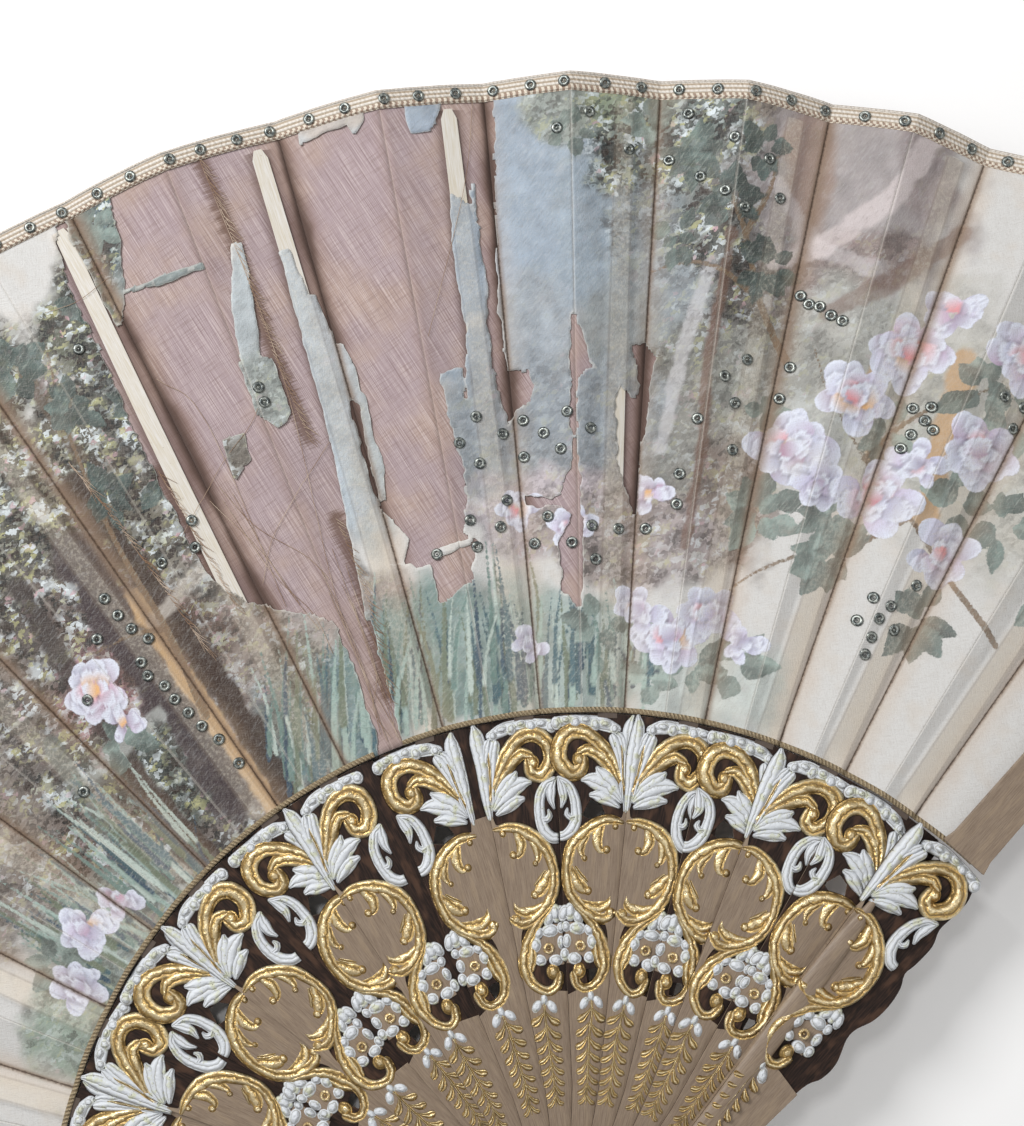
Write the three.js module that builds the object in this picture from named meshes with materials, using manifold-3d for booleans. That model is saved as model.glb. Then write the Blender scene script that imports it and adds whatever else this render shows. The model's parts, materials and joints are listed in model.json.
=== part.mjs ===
// Painted folding fan: two guards and fourteen carved sticks turning on one rivet, with a pleated leaf.
// Millimetres, +Z up. The fan lies open on its rear guard, painted side up. The origin is on the rivet's
// axis, in the plane of the rear guard's outer face, and +Y points up the middle of the photographed part.
import * as THREE from 'three';
import Module from 'manifold-3d';
import { mergeVertices } from 'three/addons/utils/BufferGeometryUtils.js';

const wasm = await Module();
wasm.setup();

// How far the fan is opened: the angle from each stick to the next, from the rear guard on the left to
// the front guard on the right. The torn middle of the leaf lets the sticks there stand wider apart.
const openGaps = [9.0, 9.5, 9.0, 9.7, 8.3, 10.7, 7.6, 11.2, 11.0, 9.0, 8.7, 8.3, 7.3, 8.6, 7.6];
const rearGuardBearing = -92.5; // degrees clockwise from +Y

// Slope of each leaf panel that is glued to a stick, in degrees: left edge up, right edge down.
// The guards hold their panels flat, and neighbours differ little, so the panels nest when the fan closes.
const panelSlope = [0, 2.5, 5, 7, 8, 8, 7, 6, 7.5, 10, 12.5, 14.5, 16.5, 17, 15.5, 0];

// Leaf
const leafRadius = 350;
const leafInner = 158;
const panelThickness = 0.5; // both layers of the leaf together
const mountainShare = 0.31; // mountain fold, as a share of the gap on that side of the stick
const valleyShare = 0.21; // valley fold, as a share of the gap on that side of the stick
const guardPanelHalf = 1.2; // degrees of leaf glued to a guard, each side of its axis
const foldGap = 0.3; // between a glued panel and the free fold beside it

// Sticks
const stickThickness = 1.0;
const groundThickness = 0.6; // lowered ground behind the carving
const runningGap = 0.3; // between one stick and the next in the stack
const headRadius = 7.2;
const shaftTop = 50; // the blade has parallel sides up to here
const gorgeTop = 150; // where the blade's width is given
const gorgeHalfWidth = 15.1;
const leafClearance = 0.5; // from the blade's top edge to the leaf
const cornerCut = 1.6;
const nominalGap = 8.8; // degrees between sticks that the carving is drawn for
const edgeStep = 0.2; // raised wood stands back this far from the blade's edge

// Ribs, the thin upper ends of the sticks that carry the leaf
const ribHalfRoot = 2.9;
const ribHalfTip = 2.4;
const ribThickness = 0.5;
const ribSetback = 7.5; // from the rib's tip to the leaf's outer edge
const ribClearance = 0.35;
const twistLength = 9; // the rib turns from flat to its panel's slope over this length

// Guards
const rearGuardThickness = 3.0;
const rearBarThickness = 1.8;
const frontGuardThickness = 4.4;
const barHalfRoot = 6.6;
const barHalfTip = 5.4;
const guardOverhang = 3; // the guards reach this far past the leaf
const guardWaist = 8.4; // half width of a guard where its carving ends, below the leaf

// Rivet and its washer
const rivetRadius = 1.3;
const boreClearance = 0.3;
const rivetHeadRadius = 3.0;
const rivetHeadThickness = 0.9;
const domeHeight = 1.3;
const washerRadius = 3.8;
const washerThickness = 0.6;
const fitGap = 0.3;

const wood = { color: 0x78644f, roughness: 0.5, metalness: 0 };
const silk = { color: 0xc4b2a4, roughness: 0.8, metalness: 0 };
const brass = { color: 0xb08d4a, roughness: 0.35, metalness: 1 };

const stickCount = openGaps.length + 1;
const lastStick = stickCount - 1;
const rad = THREE.MathUtils.degToRad;
const boreRadius = rivetRadius + boreClearance;
const bladeTop = leafInner - leafClearance;
const ribEnd = leafRadius - ribSetback;
const guardEnd = leafRadius + guardOverhang;

// Angle of each stick's axis, clockwise from +Y
const bearing = [rearGuardBearing];
for (const gap of openGaps) {
  bearing.push(bearing[bearing.length - 1] + gap);
}

// Underside of each stick in the stack
const stickPitch = stickThickness + runningGap;
function level(i) {
  return i === 0 ? 0 : rearGuardThickness + runningGap + (i - 1) * stickPitch;
}

// Middle height of each glued leaf panel, on its stick's axis
const frontPanelReach = leafRadius * Math.sin(rad(guardPanelHalf));
const frontPanelRise = frontPanelReach * Math.tan(rad(panelSlope[lastStick - 1])) + panelThickness + fitGap;
function panelLevel(i) {
  if (i === 0) return rearBarThickness + fitGap + panelThickness / 2;
  if (i === lastStick) return panelLevel(i - 1) + frontPanelRise;
  return level(i) + stickThickness / 2;
}
const frontBarUnderside = panelLevel(lastStick) + panelThickness / 2 + fitGap;
const frontTop = level(lastStick) + frontGuardThickness;

// Half width of a blade at distance v from the rivet
function halfWidth(v) {
  const share = Math.max(0, (v - shaftTop) / (gorgeTop - shaftTop));
  return headRadius + share * (gorgeHalfWidth - headRadius);
}

// The seam that the right-hand neighbour's edge draws on a blade when the fan is opened evenly
function seam(v) {
  return v * Math.tan(rad(nominalGap)) - halfWidth(v);
}

// Width of the strip between two seams
function motifWidth(v) {
  return v * Math.tan(rad(nominalGap));
}

// Sticks alternate: even ones have the flower seam on their left, odd ones the shield seam.
function flowerOnLeft(i) {
  return i % 2 === 0;
}

// A point of the carving, d from the flower seam and v from the rivet, on stick i
function carved(i, d, v) {
  return flowerOnLeft(i) ? [-halfWidth(v) + d, v] : [seam(v) - d, v];
}

function solid(geometry) {
  geometry.deleteAttribute('normal');
  geometry.deleteAttribute('uv');
  const merged = mergeVertices(geometry, 1e-4);
  const vertProperties = new Float32Array(merged.attributes.position.array);
  const triVerts = new Uint32Array(merged.index.array);
  return new wasm.Manifold(new wasm.Mesh({ numProp: 3, vertProperties, triVerts }));
}

function geometryOf(manifold) {
  const mesh = manifold.getMesh();
  const geometry = new THREE.BufferGeometry();
  geometry.setAttribute('position', new THREE.BufferAttribute(new Float32Array(mesh.vertProperties), 3));
  geometry.setIndex(new THREE.BufferAttribute(new Uint32Array(mesh.triVerts), 1));
  return geometry;
}

function plate(points, bottom, top, curveSegments = 8) {
  const shape = points instanceof THREE.Shape ? points : new THREE.Shape(points.map((p) => new THREE.Vector2(...p)));
  const geometry = new THREE.ExtrudeGeometry(shape, { depth: top - bottom, bevelEnabled: false, curveSegments });
  return geometry.translate(0, 0, bottom);
}

function pin(radius, bottom, top) {
  return new THREE.CylinderGeometry(radius, radius, top - bottom, 20)
    .rotateX(Math.PI / 2)
    .translate(0, 0, (bottom + top) / 2);
}

// Moves every point of a geometry up by lift(x, y)
function lifted(geometry, lift) {
  const position = geometry.attributes.position;
  for (let k = 0; k < position.count; k += 1) {
    position.setZ(k, position.getZ(k) + lift(position.getX(k), position.getY(k)));
  }
  return geometry;
}

// Half round head below the rivet, shared by every outline; inset pulls it in
function headArc(inset) {
  const points = [];
  const steps = 12;
  for (let k = 0; k <= steps; k += 1) {
    const a = Math.PI + (k / steps) * Math.PI;
    points.push([(headRadius - inset) * Math.cos(a), (headRadius - inset) * Math.sin(a)]);
  }
  return points;
}

// Height of the blade's curved top edge at x
function topEdge(x) {
  return Math.sqrt(bladeTop * bladeTop - x * x);
}

// Blade with its rib, seen from above
function bladeOutline() {
  const shoulder = bladeTop - 2 * cornerCut;
  const corner = halfWidth(shoulder) - cornerCut;
  const side = [
    [headRadius, shaftTop],
    [halfWidth(gorgeTop), gorgeTop],
    [halfWidth(shoulder), shoulder],
    [corner, topEdge(corner)],
    [corner / 2, topEdge(corner / 2)],
    [ribHalfRoot, topEdge(ribHalfRoot)],
    [ribHalfRoot, bladeTop + twistLength],
    [ribHalfTip, ribEnd - ribHalfTip],
    [ribHalfTip / 2, ribEnd],
  ];
  const left = side.map(([x, y]) => [-x, y]).reverse();
  return [...headArc(0), ...side, ...left];
}

// Openings cut through the ground beside the flower seam: beside the top petal, under the flowers,
// and between the pendant and the white leaf. d is from the flower seam, v from the rivet.
const piercings = [
  [[4.2, 99.5], [6.4, 96.6], [8.4, 94.2], [6.4, 93.8], [4.6, 95.4], [3.2, 98.2]],
  [[5.4, 83.2], [8.6, 84.0], [9.8, 82.2], [8.4, 79.8], [6.0, 79.6]],
  [[6.6, 127.6], [9.4, 132.4], [12.6, 131.2], [13.6, 128.2], [9.6, 126.4]],
];

// Raised wood: the whole shaft, then the plain strip and the shield between the shield seam and the
// carved frame. Each pair is distance from the rivet and width from the shield seam.
const shieldEdge = [[78, 8.0], [81, 3.4], [86, 1.9], [93, 1.9], [98, 4.0], [101, 8.6], [105, 12.4], [110, 14.2],
  [116, 14.6], [121, 12.6], [124.5, 8.6], [126, 4.0]];

function raisedOutline(i) {
  const side = flowerOnLeft(i) ? 1 : -1; // the shield seam's side of the blade
  const shaftEnd = shieldEdge[0][0];
  const shieldEnd = shieldEdge[shieldEdge.length - 1][0];
  const outerEdge = (v) => side * (halfWidth(v) - edgeStep);
  const points = headArc(edgeStep).map(([x, y]) => [side * x, y]);
  points.push([outerEdge(shaftTop), shaftTop], [outerEdge(shaftEnd), shaftEnd], [outerEdge(shieldEnd), shieldEnd]);
  for (const [v, width] of [...shieldEdge].reverse()) {
    points.push(carved(i, motifWidth(v) - width, v));
  }
  points.push([-outerEdge(shaftEnd - 2), shaftEnd - 2], [-outerEdge(shaftTop), shaftTop]);
  return side > 0 ? points : points.reverse();
}

function stickGeometry(i) {
  const slope = Math.tan(rad(panelSlope[i]));
  const ribLift = (stickThickness - ribThickness) / 2;
  const shape = new THREE.Shape(bladeOutline().map((p) => new THREE.Vector2(...p)));
  if (flowerOnLeft(i)) {
    for (const ring of piercings) {
      shape.holes.push(new THREE.Path(ring.map(([d, v]) => new THREE.Vector2(...carved(i, d, v)))));
    }
  }
  const ground = plate(shape, 0, groundThickness);
  // Past the blade the rib thins to its own height and turns to its panel's slope
  const position = ground.attributes.position;
  for (let k = 0; k < position.count; k += 1) {
    const y = position.getY(k);
    if (y <= bladeTop) continue;
    const turned = Math.min(1, (y - bladeTop) / twistLength);
    const flatHeight = position.getZ(k) > groundThickness / 2 ? groundThickness : 0;
    const ribHeight = position.getZ(k) > groundThickness / 2 ? ribLift + ribThickness : ribLift;
    const height = flatHeight + (ribHeight - flatHeight) * turned;
    position.setZ(k, height - position.getX(k) * slope * turned);
  }
  const raised = plate(raisedOutline(i), groundThickness / 2, stickThickness);
  return geometryOf(solid(ground).add(solid(raised)).subtract(solid(pin(boreRadius, -1, stickThickness + 1))));
}

// A guard seen from above. Its carving side is scalloped like the carved frame of the gorge.
function guardOutline(i) {
  const side = flowerOnLeft(i) ? -1 : 1; // the flower seam's side
  const scallops = [[78, 9.2], [84, 11.6], [90, 11.9], [97, 9.6], [101, 9.8], [106, 11.8], [112, 12.4], [118, 11.6],
    [122, 9.8], [126, 10.4], [133, 10.6], [138, 9.0], [143, 9.4], [149, 9.8], [154, guardWaist]];
  const plainEdge = [[shaftTop, headRadius], [124, halfWidth(124)], [132, 12.2], [142, 9.6], [150, guardWaist]];
  const carvedSide = [[shaftTop, headRadius], ...scallops].map(([v, w]) => [side * w, v]);
  const plainSide = plainEdge.map(([v, w]) => [-side * w, v]);
  const right = side > 0 ? carvedSide : plainSide;
  const left = side > 0 ? plainSide : carvedSide;
  const tip = [[barHalfTip, guardEnd - barHalfTip], [barHalfTip * 0.6, guardEnd - 1], [-barHalfTip * 0.6, guardEnd - 1],
    [-barHalfTip, guardEnd - barHalfTip]];
  const barRoot = bladeTop + 4;
  return [...headArc(0), ...right, [barHalfRoot, barRoot], ...tip, [-barHalfRoot, barRoot], ...left.reverse()];
}

// Room left under or over the leaf end of a guard
function guardRebate(bottom, top) {
  const reach = barHalfRoot + 4;
  return plate([[-reach, bladeTop], [reach, bladeTop], [reach, guardEnd + 5], [-reach, guardEnd + 5]], bottom, top);
}

function rearGuardGeometry() {
  const bore = solid(pin(boreRadius, -1, rearGuardThickness + 1));
  const seat = solid(pin(rivetHeadRadius + boreClearance, -1, rivetHeadThickness + fitGap));
  return geometryOf(solid(plate(guardOutline(0), 0, rearGuardThickness))
    .subtract(solid(guardRebate(rearBarThickness, rearGuardThickness + 1)))
    .subtract(bore)
    .subtract(seat));
}

function frontGuardGeometry() {
  const bottom = level(lastStick);
  const bore = solid(pin(boreRadius, bottom - 1, frontTop + 1));
  return geometryOf(solid(plate(guardOutline(lastStick), bottom, frontTop))
    .subtract(solid(guardRebate(bottom - 1, frontBarUnderside)))
    .subtract(bore));
}

// Leaf: panel i is glued to stick i, fold i spans from panel i's valley edge to the next panel's mountain edge
function mountainOffset(i) {
  return i === 0 || i === lastStick ? -guardPanelHalf : -mountainShare * openGaps[i - 1];
}
function valleyOffset(i) {
  return i === lastStick ? guardPanelHalf : valleyShare * openGaps[i];
}
function polar(r, degrees) {
  return [r * Math.sin(rad(degrees)), r * Math.cos(rad(degrees))];
}
function arc(r, from, to, steps) {
  return Array.from({ length: steps + 1 }, (_, k) => polar(r, from + ((to - from) * k) / steps));
}

function panelGeometry(i) {
  const left = mountainOffset(i);
  const right = valleyOffset(i);
  const hasSlot = i > 0 && i < lastStick;
  const outer = arc(leafRadius, right, left, 2);
  const slotRoot = ribHalfRoot + ribClearance;
  const slotTip = ribHalfTip + ribClearance;
  const slot = [[-slotRoot, leafInner], [-slotRoot, bladeTop + twistLength], [-slotTip, ribEnd + ribClearance],
    [slotTip, ribEnd + ribClearance], [slotRoot, bladeTop + twistLength], [slotRoot, leafInner]];
  const inner = [polar(leafInner, left), ...(hasSlot ? slot : []), polar(leafInner, right)];
  const slope = Math.tan(rad(panelSlope[i]));
  const sheet = plate([...inner, ...outer], panelLevel(i) - panelThickness / 2, panelLevel(i) + panelThickness / 2);
  return lifted(sheet, (x) => -x * slope);
}

// Height of the leaf's middle surface at an edge of panel i, r from the rivet
function edgeHeight(i, offset, r) {
  return panelLevel(i) - r * Math.sin(rad(offset)) * Math.tan(rad(panelSlope[i]));
}

function foldGeometry(i) {
  const gap = openGaps[i];
  const valley = valleyOffset(i);
  const mountain = gap + mountainOffset(i + 1);
  const steps = 3;
  const radii = Array.from({ length: steps + 1 }, (_, k) => leafInner + ((leafRadius - leafInner) * k) / steps);
  const setBack = (r) => THREE.MathUtils.radToDeg(foldGap / r);
  const leftSide = radii.map((r) => polar(r, valley + setBack(r)));
  const rightSide = radii.map((r) => polar(r, mountain - setBack(r)));
  const outline = [...rightSide, ...leftSide.reverse()];
  const sheet = plate(outline, -panelThickness / 2, panelThickness / 2);
  return lifted(sheet, (x, y) => {
    const r = Math.hypot(x, y);
    const share = (THREE.MathUtils.radToDeg(Math.atan2(x, y)) - valley) / (mountain - valley);
    return (1 - share) * edgeHeight(i, valley, r) + share * edgeHeight(i + 1, mountainOffset(i + 1), r);
  });
}

function rivetGeometry() {
  const washerTop = frontTop + fitGap + washerThickness;
  const headBottom = washerTop + fitGap;
  const profile = [[0, 0], [rivetHeadRadius, 0], [rivetHeadRadius, rivetHeadThickness], [rivetRadius, rivetHeadThickness],
    [rivetRadius, headBottom], [rivetHeadRadius, headBottom]];
  const steps = 5;
  for (let k = 1; k <= steps; k += 1) {
    const a = (k / steps) * (Math.PI / 2);
    profile.push([k === steps ? 0 : rivetHeadRadius * Math.cos(a), headBottom + domeHeight * Math.sin(a)]);
  }
  return new THREE.LatheGeometry(profile.map((p) => new THREE.Vector2(...p)), 24).rotateX(Math.PI / 2);
}

function washerGeometry() {
  const bottom = frontTop + fitGap;
  const profile = [[boreRadius, bottom], [washerRadius, bottom], [washerRadius, bottom + washerThickness],
    [boreRadius, bottom + washerThickness], [boreRadius, bottom]];
  return new THREE.LatheGeometry(profile.map((p) => new THREE.Vector2(...p)), 24).rotateX(Math.PI / 2);
}

function named(name, geometry, finish) {
  const mesh = new THREE.Mesh(geometry, new THREE.MeshStandardMaterial(finish));
  mesh.name = name;
  return mesh;
}

const two = (i) => String(i).padStart(2, '0');
const fan = new THREE.Group();
for (let i = 0; i < stickCount; i += 1) {
  const arm = new THREE.Group();
  arm.rotation.z = -rad(bearing[i]);
  if (i === 0) {
    arm.add(named('rear_guard', rearGuardGeometry(), wood));
  } else if (i === lastStick) {
    arm.add(named('front_guard', frontGuardGeometry(), wood));
  } else {
    const stick = named(`stick_${two(i)}`, stickGeometry(i), wood);
    stick.position.z = level(i);
    arm.add(stick);
  }
  arm.add(named(`leaf_panel_${two(i)}`, panelGeometry(i), silk));
  if (i < lastStick) arm.add(named(`leaf_fold_${two(i)}`, foldGeometry(i), silk));
  fan.add(arm);
}
fan.add(named('rivet', rivetGeometry(), brass));
fan.add(named('rivet_washer', washerGeometry(), brass));

export default fan;
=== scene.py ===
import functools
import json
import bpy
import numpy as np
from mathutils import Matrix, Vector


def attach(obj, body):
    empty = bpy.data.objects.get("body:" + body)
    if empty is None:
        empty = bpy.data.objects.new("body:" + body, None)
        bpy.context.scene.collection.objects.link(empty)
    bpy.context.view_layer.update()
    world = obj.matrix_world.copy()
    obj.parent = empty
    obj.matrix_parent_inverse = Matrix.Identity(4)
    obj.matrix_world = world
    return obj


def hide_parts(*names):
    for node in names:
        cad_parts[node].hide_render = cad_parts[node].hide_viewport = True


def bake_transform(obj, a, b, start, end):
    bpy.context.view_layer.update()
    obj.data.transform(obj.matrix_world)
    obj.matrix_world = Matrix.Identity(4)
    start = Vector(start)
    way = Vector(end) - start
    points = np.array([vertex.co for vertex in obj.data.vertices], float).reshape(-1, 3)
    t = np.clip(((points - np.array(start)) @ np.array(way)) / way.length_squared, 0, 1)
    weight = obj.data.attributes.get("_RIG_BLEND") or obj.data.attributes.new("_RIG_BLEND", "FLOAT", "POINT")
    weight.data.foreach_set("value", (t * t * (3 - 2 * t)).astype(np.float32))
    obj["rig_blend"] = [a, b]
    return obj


bl_info = {
    "name": "Painted folding fan",
    "version": (1, 0, 0),
    "blender": (4, 5, 0),
    "location": "View3D > Sidebar > Fan",
    "description": "Carved and gilded sticks and a torn painted leaf, built around a jointed fan frame",
    "category": "Add Mesh",
}

from math import atan2, ceil, cos, degrees, hypot, pi, radians, sin, sqrt, tan

import bmesh
import bpy
import numpy as np
from bpy.props import FloatProperty, FloatVectorProperty, PointerProperty
from bpy.types import Operator, Panel, PropertyGroup
from mathutils import Matrix, Vector

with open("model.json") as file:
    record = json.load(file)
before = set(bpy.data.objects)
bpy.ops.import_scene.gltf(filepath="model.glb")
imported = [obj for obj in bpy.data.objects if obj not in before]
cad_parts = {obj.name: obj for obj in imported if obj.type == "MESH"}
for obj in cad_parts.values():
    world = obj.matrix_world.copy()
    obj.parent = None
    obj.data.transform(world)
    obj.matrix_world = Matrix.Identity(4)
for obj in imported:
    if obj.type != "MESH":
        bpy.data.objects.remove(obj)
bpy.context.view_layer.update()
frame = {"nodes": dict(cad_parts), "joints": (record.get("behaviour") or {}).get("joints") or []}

# Lengths are millimetres and angles degrees until a mesh is placed in the fan.
MM = 0.001
PLAN = Matrix.Scale(MM, 4)

# The frame's own sizes. Bearings run clockwise from +Y, from the rear guard on the left.
GAPS = [joint["range_deg"][1] for joint in frame["joints"]]
STICK_COUNT = len(GAPS) + 1
LAST = STICK_COUNT - 1
REAR_BEARING = -92.5
BEARINGS = [REAR_BEARING + sum(GAPS[:i]) for i in range(STICK_COUNT)]
BODIES = ["rear_guard"] + [f"stick_{i:02d}" for i in range(1, LAST)] + ["front_guard"]
PANEL_SLOPES = [0, 2.5, 5, 7, 8, 8, 7, 6, 7.5, 10, 12.5, 14.5, 16.5, 17, 15.5, 0]
STICK_PITCH = 1.3
FIRST_STICK = 3.3
HEAD_RADIUS = 7.2
SHAFT_TOP = 50
GORGE_TOP = 150
GORGE_HALF_WIDTH = 15.1
BLADE_TOP = 157.5
NOMINAL_GAP = 8.8
BORE_RADIUS = 1.6
ROUND_STEPS = 16
LEAF_INNER = 158
LEAF_OUTER = 350
MOUNTAIN_SHARE = 0.31
VALLEY_SHARE = 0.21
GUARD_PANEL_HALF = 1.2
RIB_HALF_ROOT = 2.9
RIB_HALF_TIP = 2.4
RIB_END = 342.5
RIB_THICKNESS = 0.5
TWIST_LENGTH = 9
REAR_BAR_THICKNESS = 1.8
FRONT_GUARD_THICKNESS = 4.4
BAR_HALF_ROOT = 6.6
BAR_HALF_TIP = 5.4
GUARD_END = 353
GUARD_WAIST = 8.4

# The cloth: its thickness, and how far the backing and the painted silk lie under the leaf's own middle.
SILK_THICKNESS = 0.12
BACKING_DROP = 0.3
PAINT_DROP = 0.08
# Distance given to points that have no fold or rib near them.
FAR = 20.0
# Where a free fold is held to the sticks beside it: distance from the rivet.
HOLD_RADIUS = 195
# Scraps of painted silk that are too small to make: faces in a patch, and square metres in a facet.
CRUMB_FACES = 14
LEAST_AREA = 1e-5

# Heights of one stick's layers above its own underside, and of the thicker guards' layers.
# ground is the lowered wood behind the carving, plain the raised wood, crest the top of the ornament.
STICK_LAYERS = {"bottom": 0.0, "ground": 0.35, "plain": 0.85, "crest": 1.2}
REAR_LAYERS = {"bottom": 0.0, "ground": 2.0, "plain": 2.5, "crest": 3.15}
FRONT_LAYERS = {"bottom": 0.0, "ground": 2.3, "plain": 3.3, "crest": 4.6}


def level(i):
    """Underside of stick i in the stack."""
    return 0.0 if i == 0 else FIRST_STICK + STICK_PITCH * (i - 1)


def layers(i):
    if i == 0:
        return REAR_LAYERS
    return FRONT_LAYERS if i == LAST else STICK_LAYERS


def half_width(v):
    """Half width of a blade at distance v from the rivet."""
    share = max(0.0, (v - SHAFT_TOP) / (GORGE_TOP - SHAFT_TOP))
    return HEAD_RADIUS + share * (GORGE_HALF_WIDTH - HEAD_RADIUS)


def motif_width(v):
    """Width of the strip of one stick that shows between its neighbours' edges."""
    return v * tan(radians(NOMINAL_GAP))


def panel_fall(i):
    """How far leaf panel i falls for each millimetre to the right."""
    return tan(radians(PANEL_SLOPES[i]))


def flower_on_left(i):
    return i % 2 == 0


def carved(left, d, v):
    """A point of the carving on a stick: d from the flower seam, v from the rivet."""
    return (-half_width(v) + d, v) if left else (motif_width(v) - half_width(v) - d, v)


def stick_matrix(i):
    """From a stick's own millimetres to its place in the open fan, in metres."""
    turn = Matrix.Rotation(-radians(BEARINGS[i]), 4, "Z")
    return PLAN @ Matrix.Translation((0, 0, level(i))) @ turn


def share_of(values):
    """Values held between 0 and 1."""
    return np.clip(values, 0, 1)


def srgb(red, green, blue):
    """Linear colour of a screen colour given from 0 to 255."""
    return tuple(c / 3294.6 if c <= 10 else ((c / 255 + 0.055) / 1.055) ** 2.4 for c in (red, green, blue))


def colour(title, text, value):
    return FloatVectorProperty(name=title, description=text, subtype="COLOR", size=3, min=0, max=1,
                               default=srgb(*value))


def length(title, text, value):
    return FloatProperty(name=title, description=text, unit="LENGTH", default=value)


class FanSizes(PropertyGroup):
    edge_round: length("Edge rounding", "Bevel on the wood's edges", 0.00012)
    grid_step: length("Cloth step", "Size of the painted cloth's mesh cells", 0.001)
    braid_width: length("Braid width", "Width of the braid along the outer edge", 0.0058)
    spangle_radius: length("Spangle radius", "Outer radius of a sewn ring", 0.0018)
    spangle_step: length("Spangle step", "Distance between the rings along the braid", 0.0113)
    ripple: length("Ripple", "Height of the cloth's small waves", 0.0005)


class FanColours(PropertyGroup):
    wood: colour("Wood", "Plain satin wood of the sticks", (148, 131, 113))
    wood_dark: colour("Wood grain", "Dark lines in the wood", (118, 100, 84))
    # Stained wood whose dark colour is also painted shade, for the depth of the carving's openings.
    ground: colour("Ground", "Stained wood behind the carving", (58, 40, 32))
    gold: colour("Gilding", "Gold leaf on the carving", (244, 208, 136))
    gold_worn: colour("Worn gilding", "Base that shows where the gold is rubbed off", (128, 100, 66))
    white: colour("White paint", "Painted flowers and leaves of the carving", (214, 218, 223))
    white_aged: colour("Aged white", "Yellowed patches of the white paint", (198, 200, 160))
    rib: colour("Ribs", "Bare wood of the ribs", (212, 209, 205))
    backing: colour("Backing", "Dusty silk behind the painted leaf", (161, 144, 147))
    backing_light: colour("Backing threads", "Light threads in the backing", (208, 194, 192))
    silk: colour("Leaf silk", "Unpainted silk of the leaf", (204, 203, 201))
    # Brown of the stained, split silk in the folds, and also the painted shade in them.
    stain: colour("Fold stain", "Brown stain and split silk in the folds", (98, 78, 66))
    braid: colour("Braid", "Cream and gold braid", (205, 198, 189))
    spangle: colour("Spangles", "Tarnished metal rings", (88, 94, 94))
    thread: colour("Threads", "Frayed silk threads", (134, 106, 84))


class FanStage(PropertyGroup):
    floor: colour("Floor", "Plain pale floor", (253, 253, 253))
    lamp_power: FloatProperty(name="Lamp", description="Power of the soft lamp", subtype="POWER", default=7.7)
    fill: FloatProperty(name="Fill", description="Strength of the even light from all round", default=0.36)


def sizes():
    return bpy.context.scene.fan_sizes


def colours():
    return bpy.context.scene.fan_colours


# Finishes


def maths(operation, swapped=False):
    """A method that adds one Math node."""
    def method(self, *others):
        values = (*others, self) if swapped else (self, *others)
        return self.finish.node("ShaderNodeMath", {"operation": operation}, dict(enumerate(values)))
    return method


class Term:
    """One output of a finish's nodes. Arithmetic on it adds Math nodes."""

    def __init__(self, finish, socket):
        self.finish = finish
        self.socket = socket

    __add__ = __radd__ = maths("ADD")
    __sub__ = maths("SUBTRACT")
    __rsub__ = maths("SUBTRACT", swapped=True)
    __mul__ = __rmul__ = maths("MULTIPLY")
    __pow__ = maths("POWER")
    most = maths("MAXIMUM")
    least = maths("MINIMUM")
    wave = maths("SINE")
    size = maths("ABSOLUTE")

    def clamp(self):
        return self.least(1).most(0)


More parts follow.
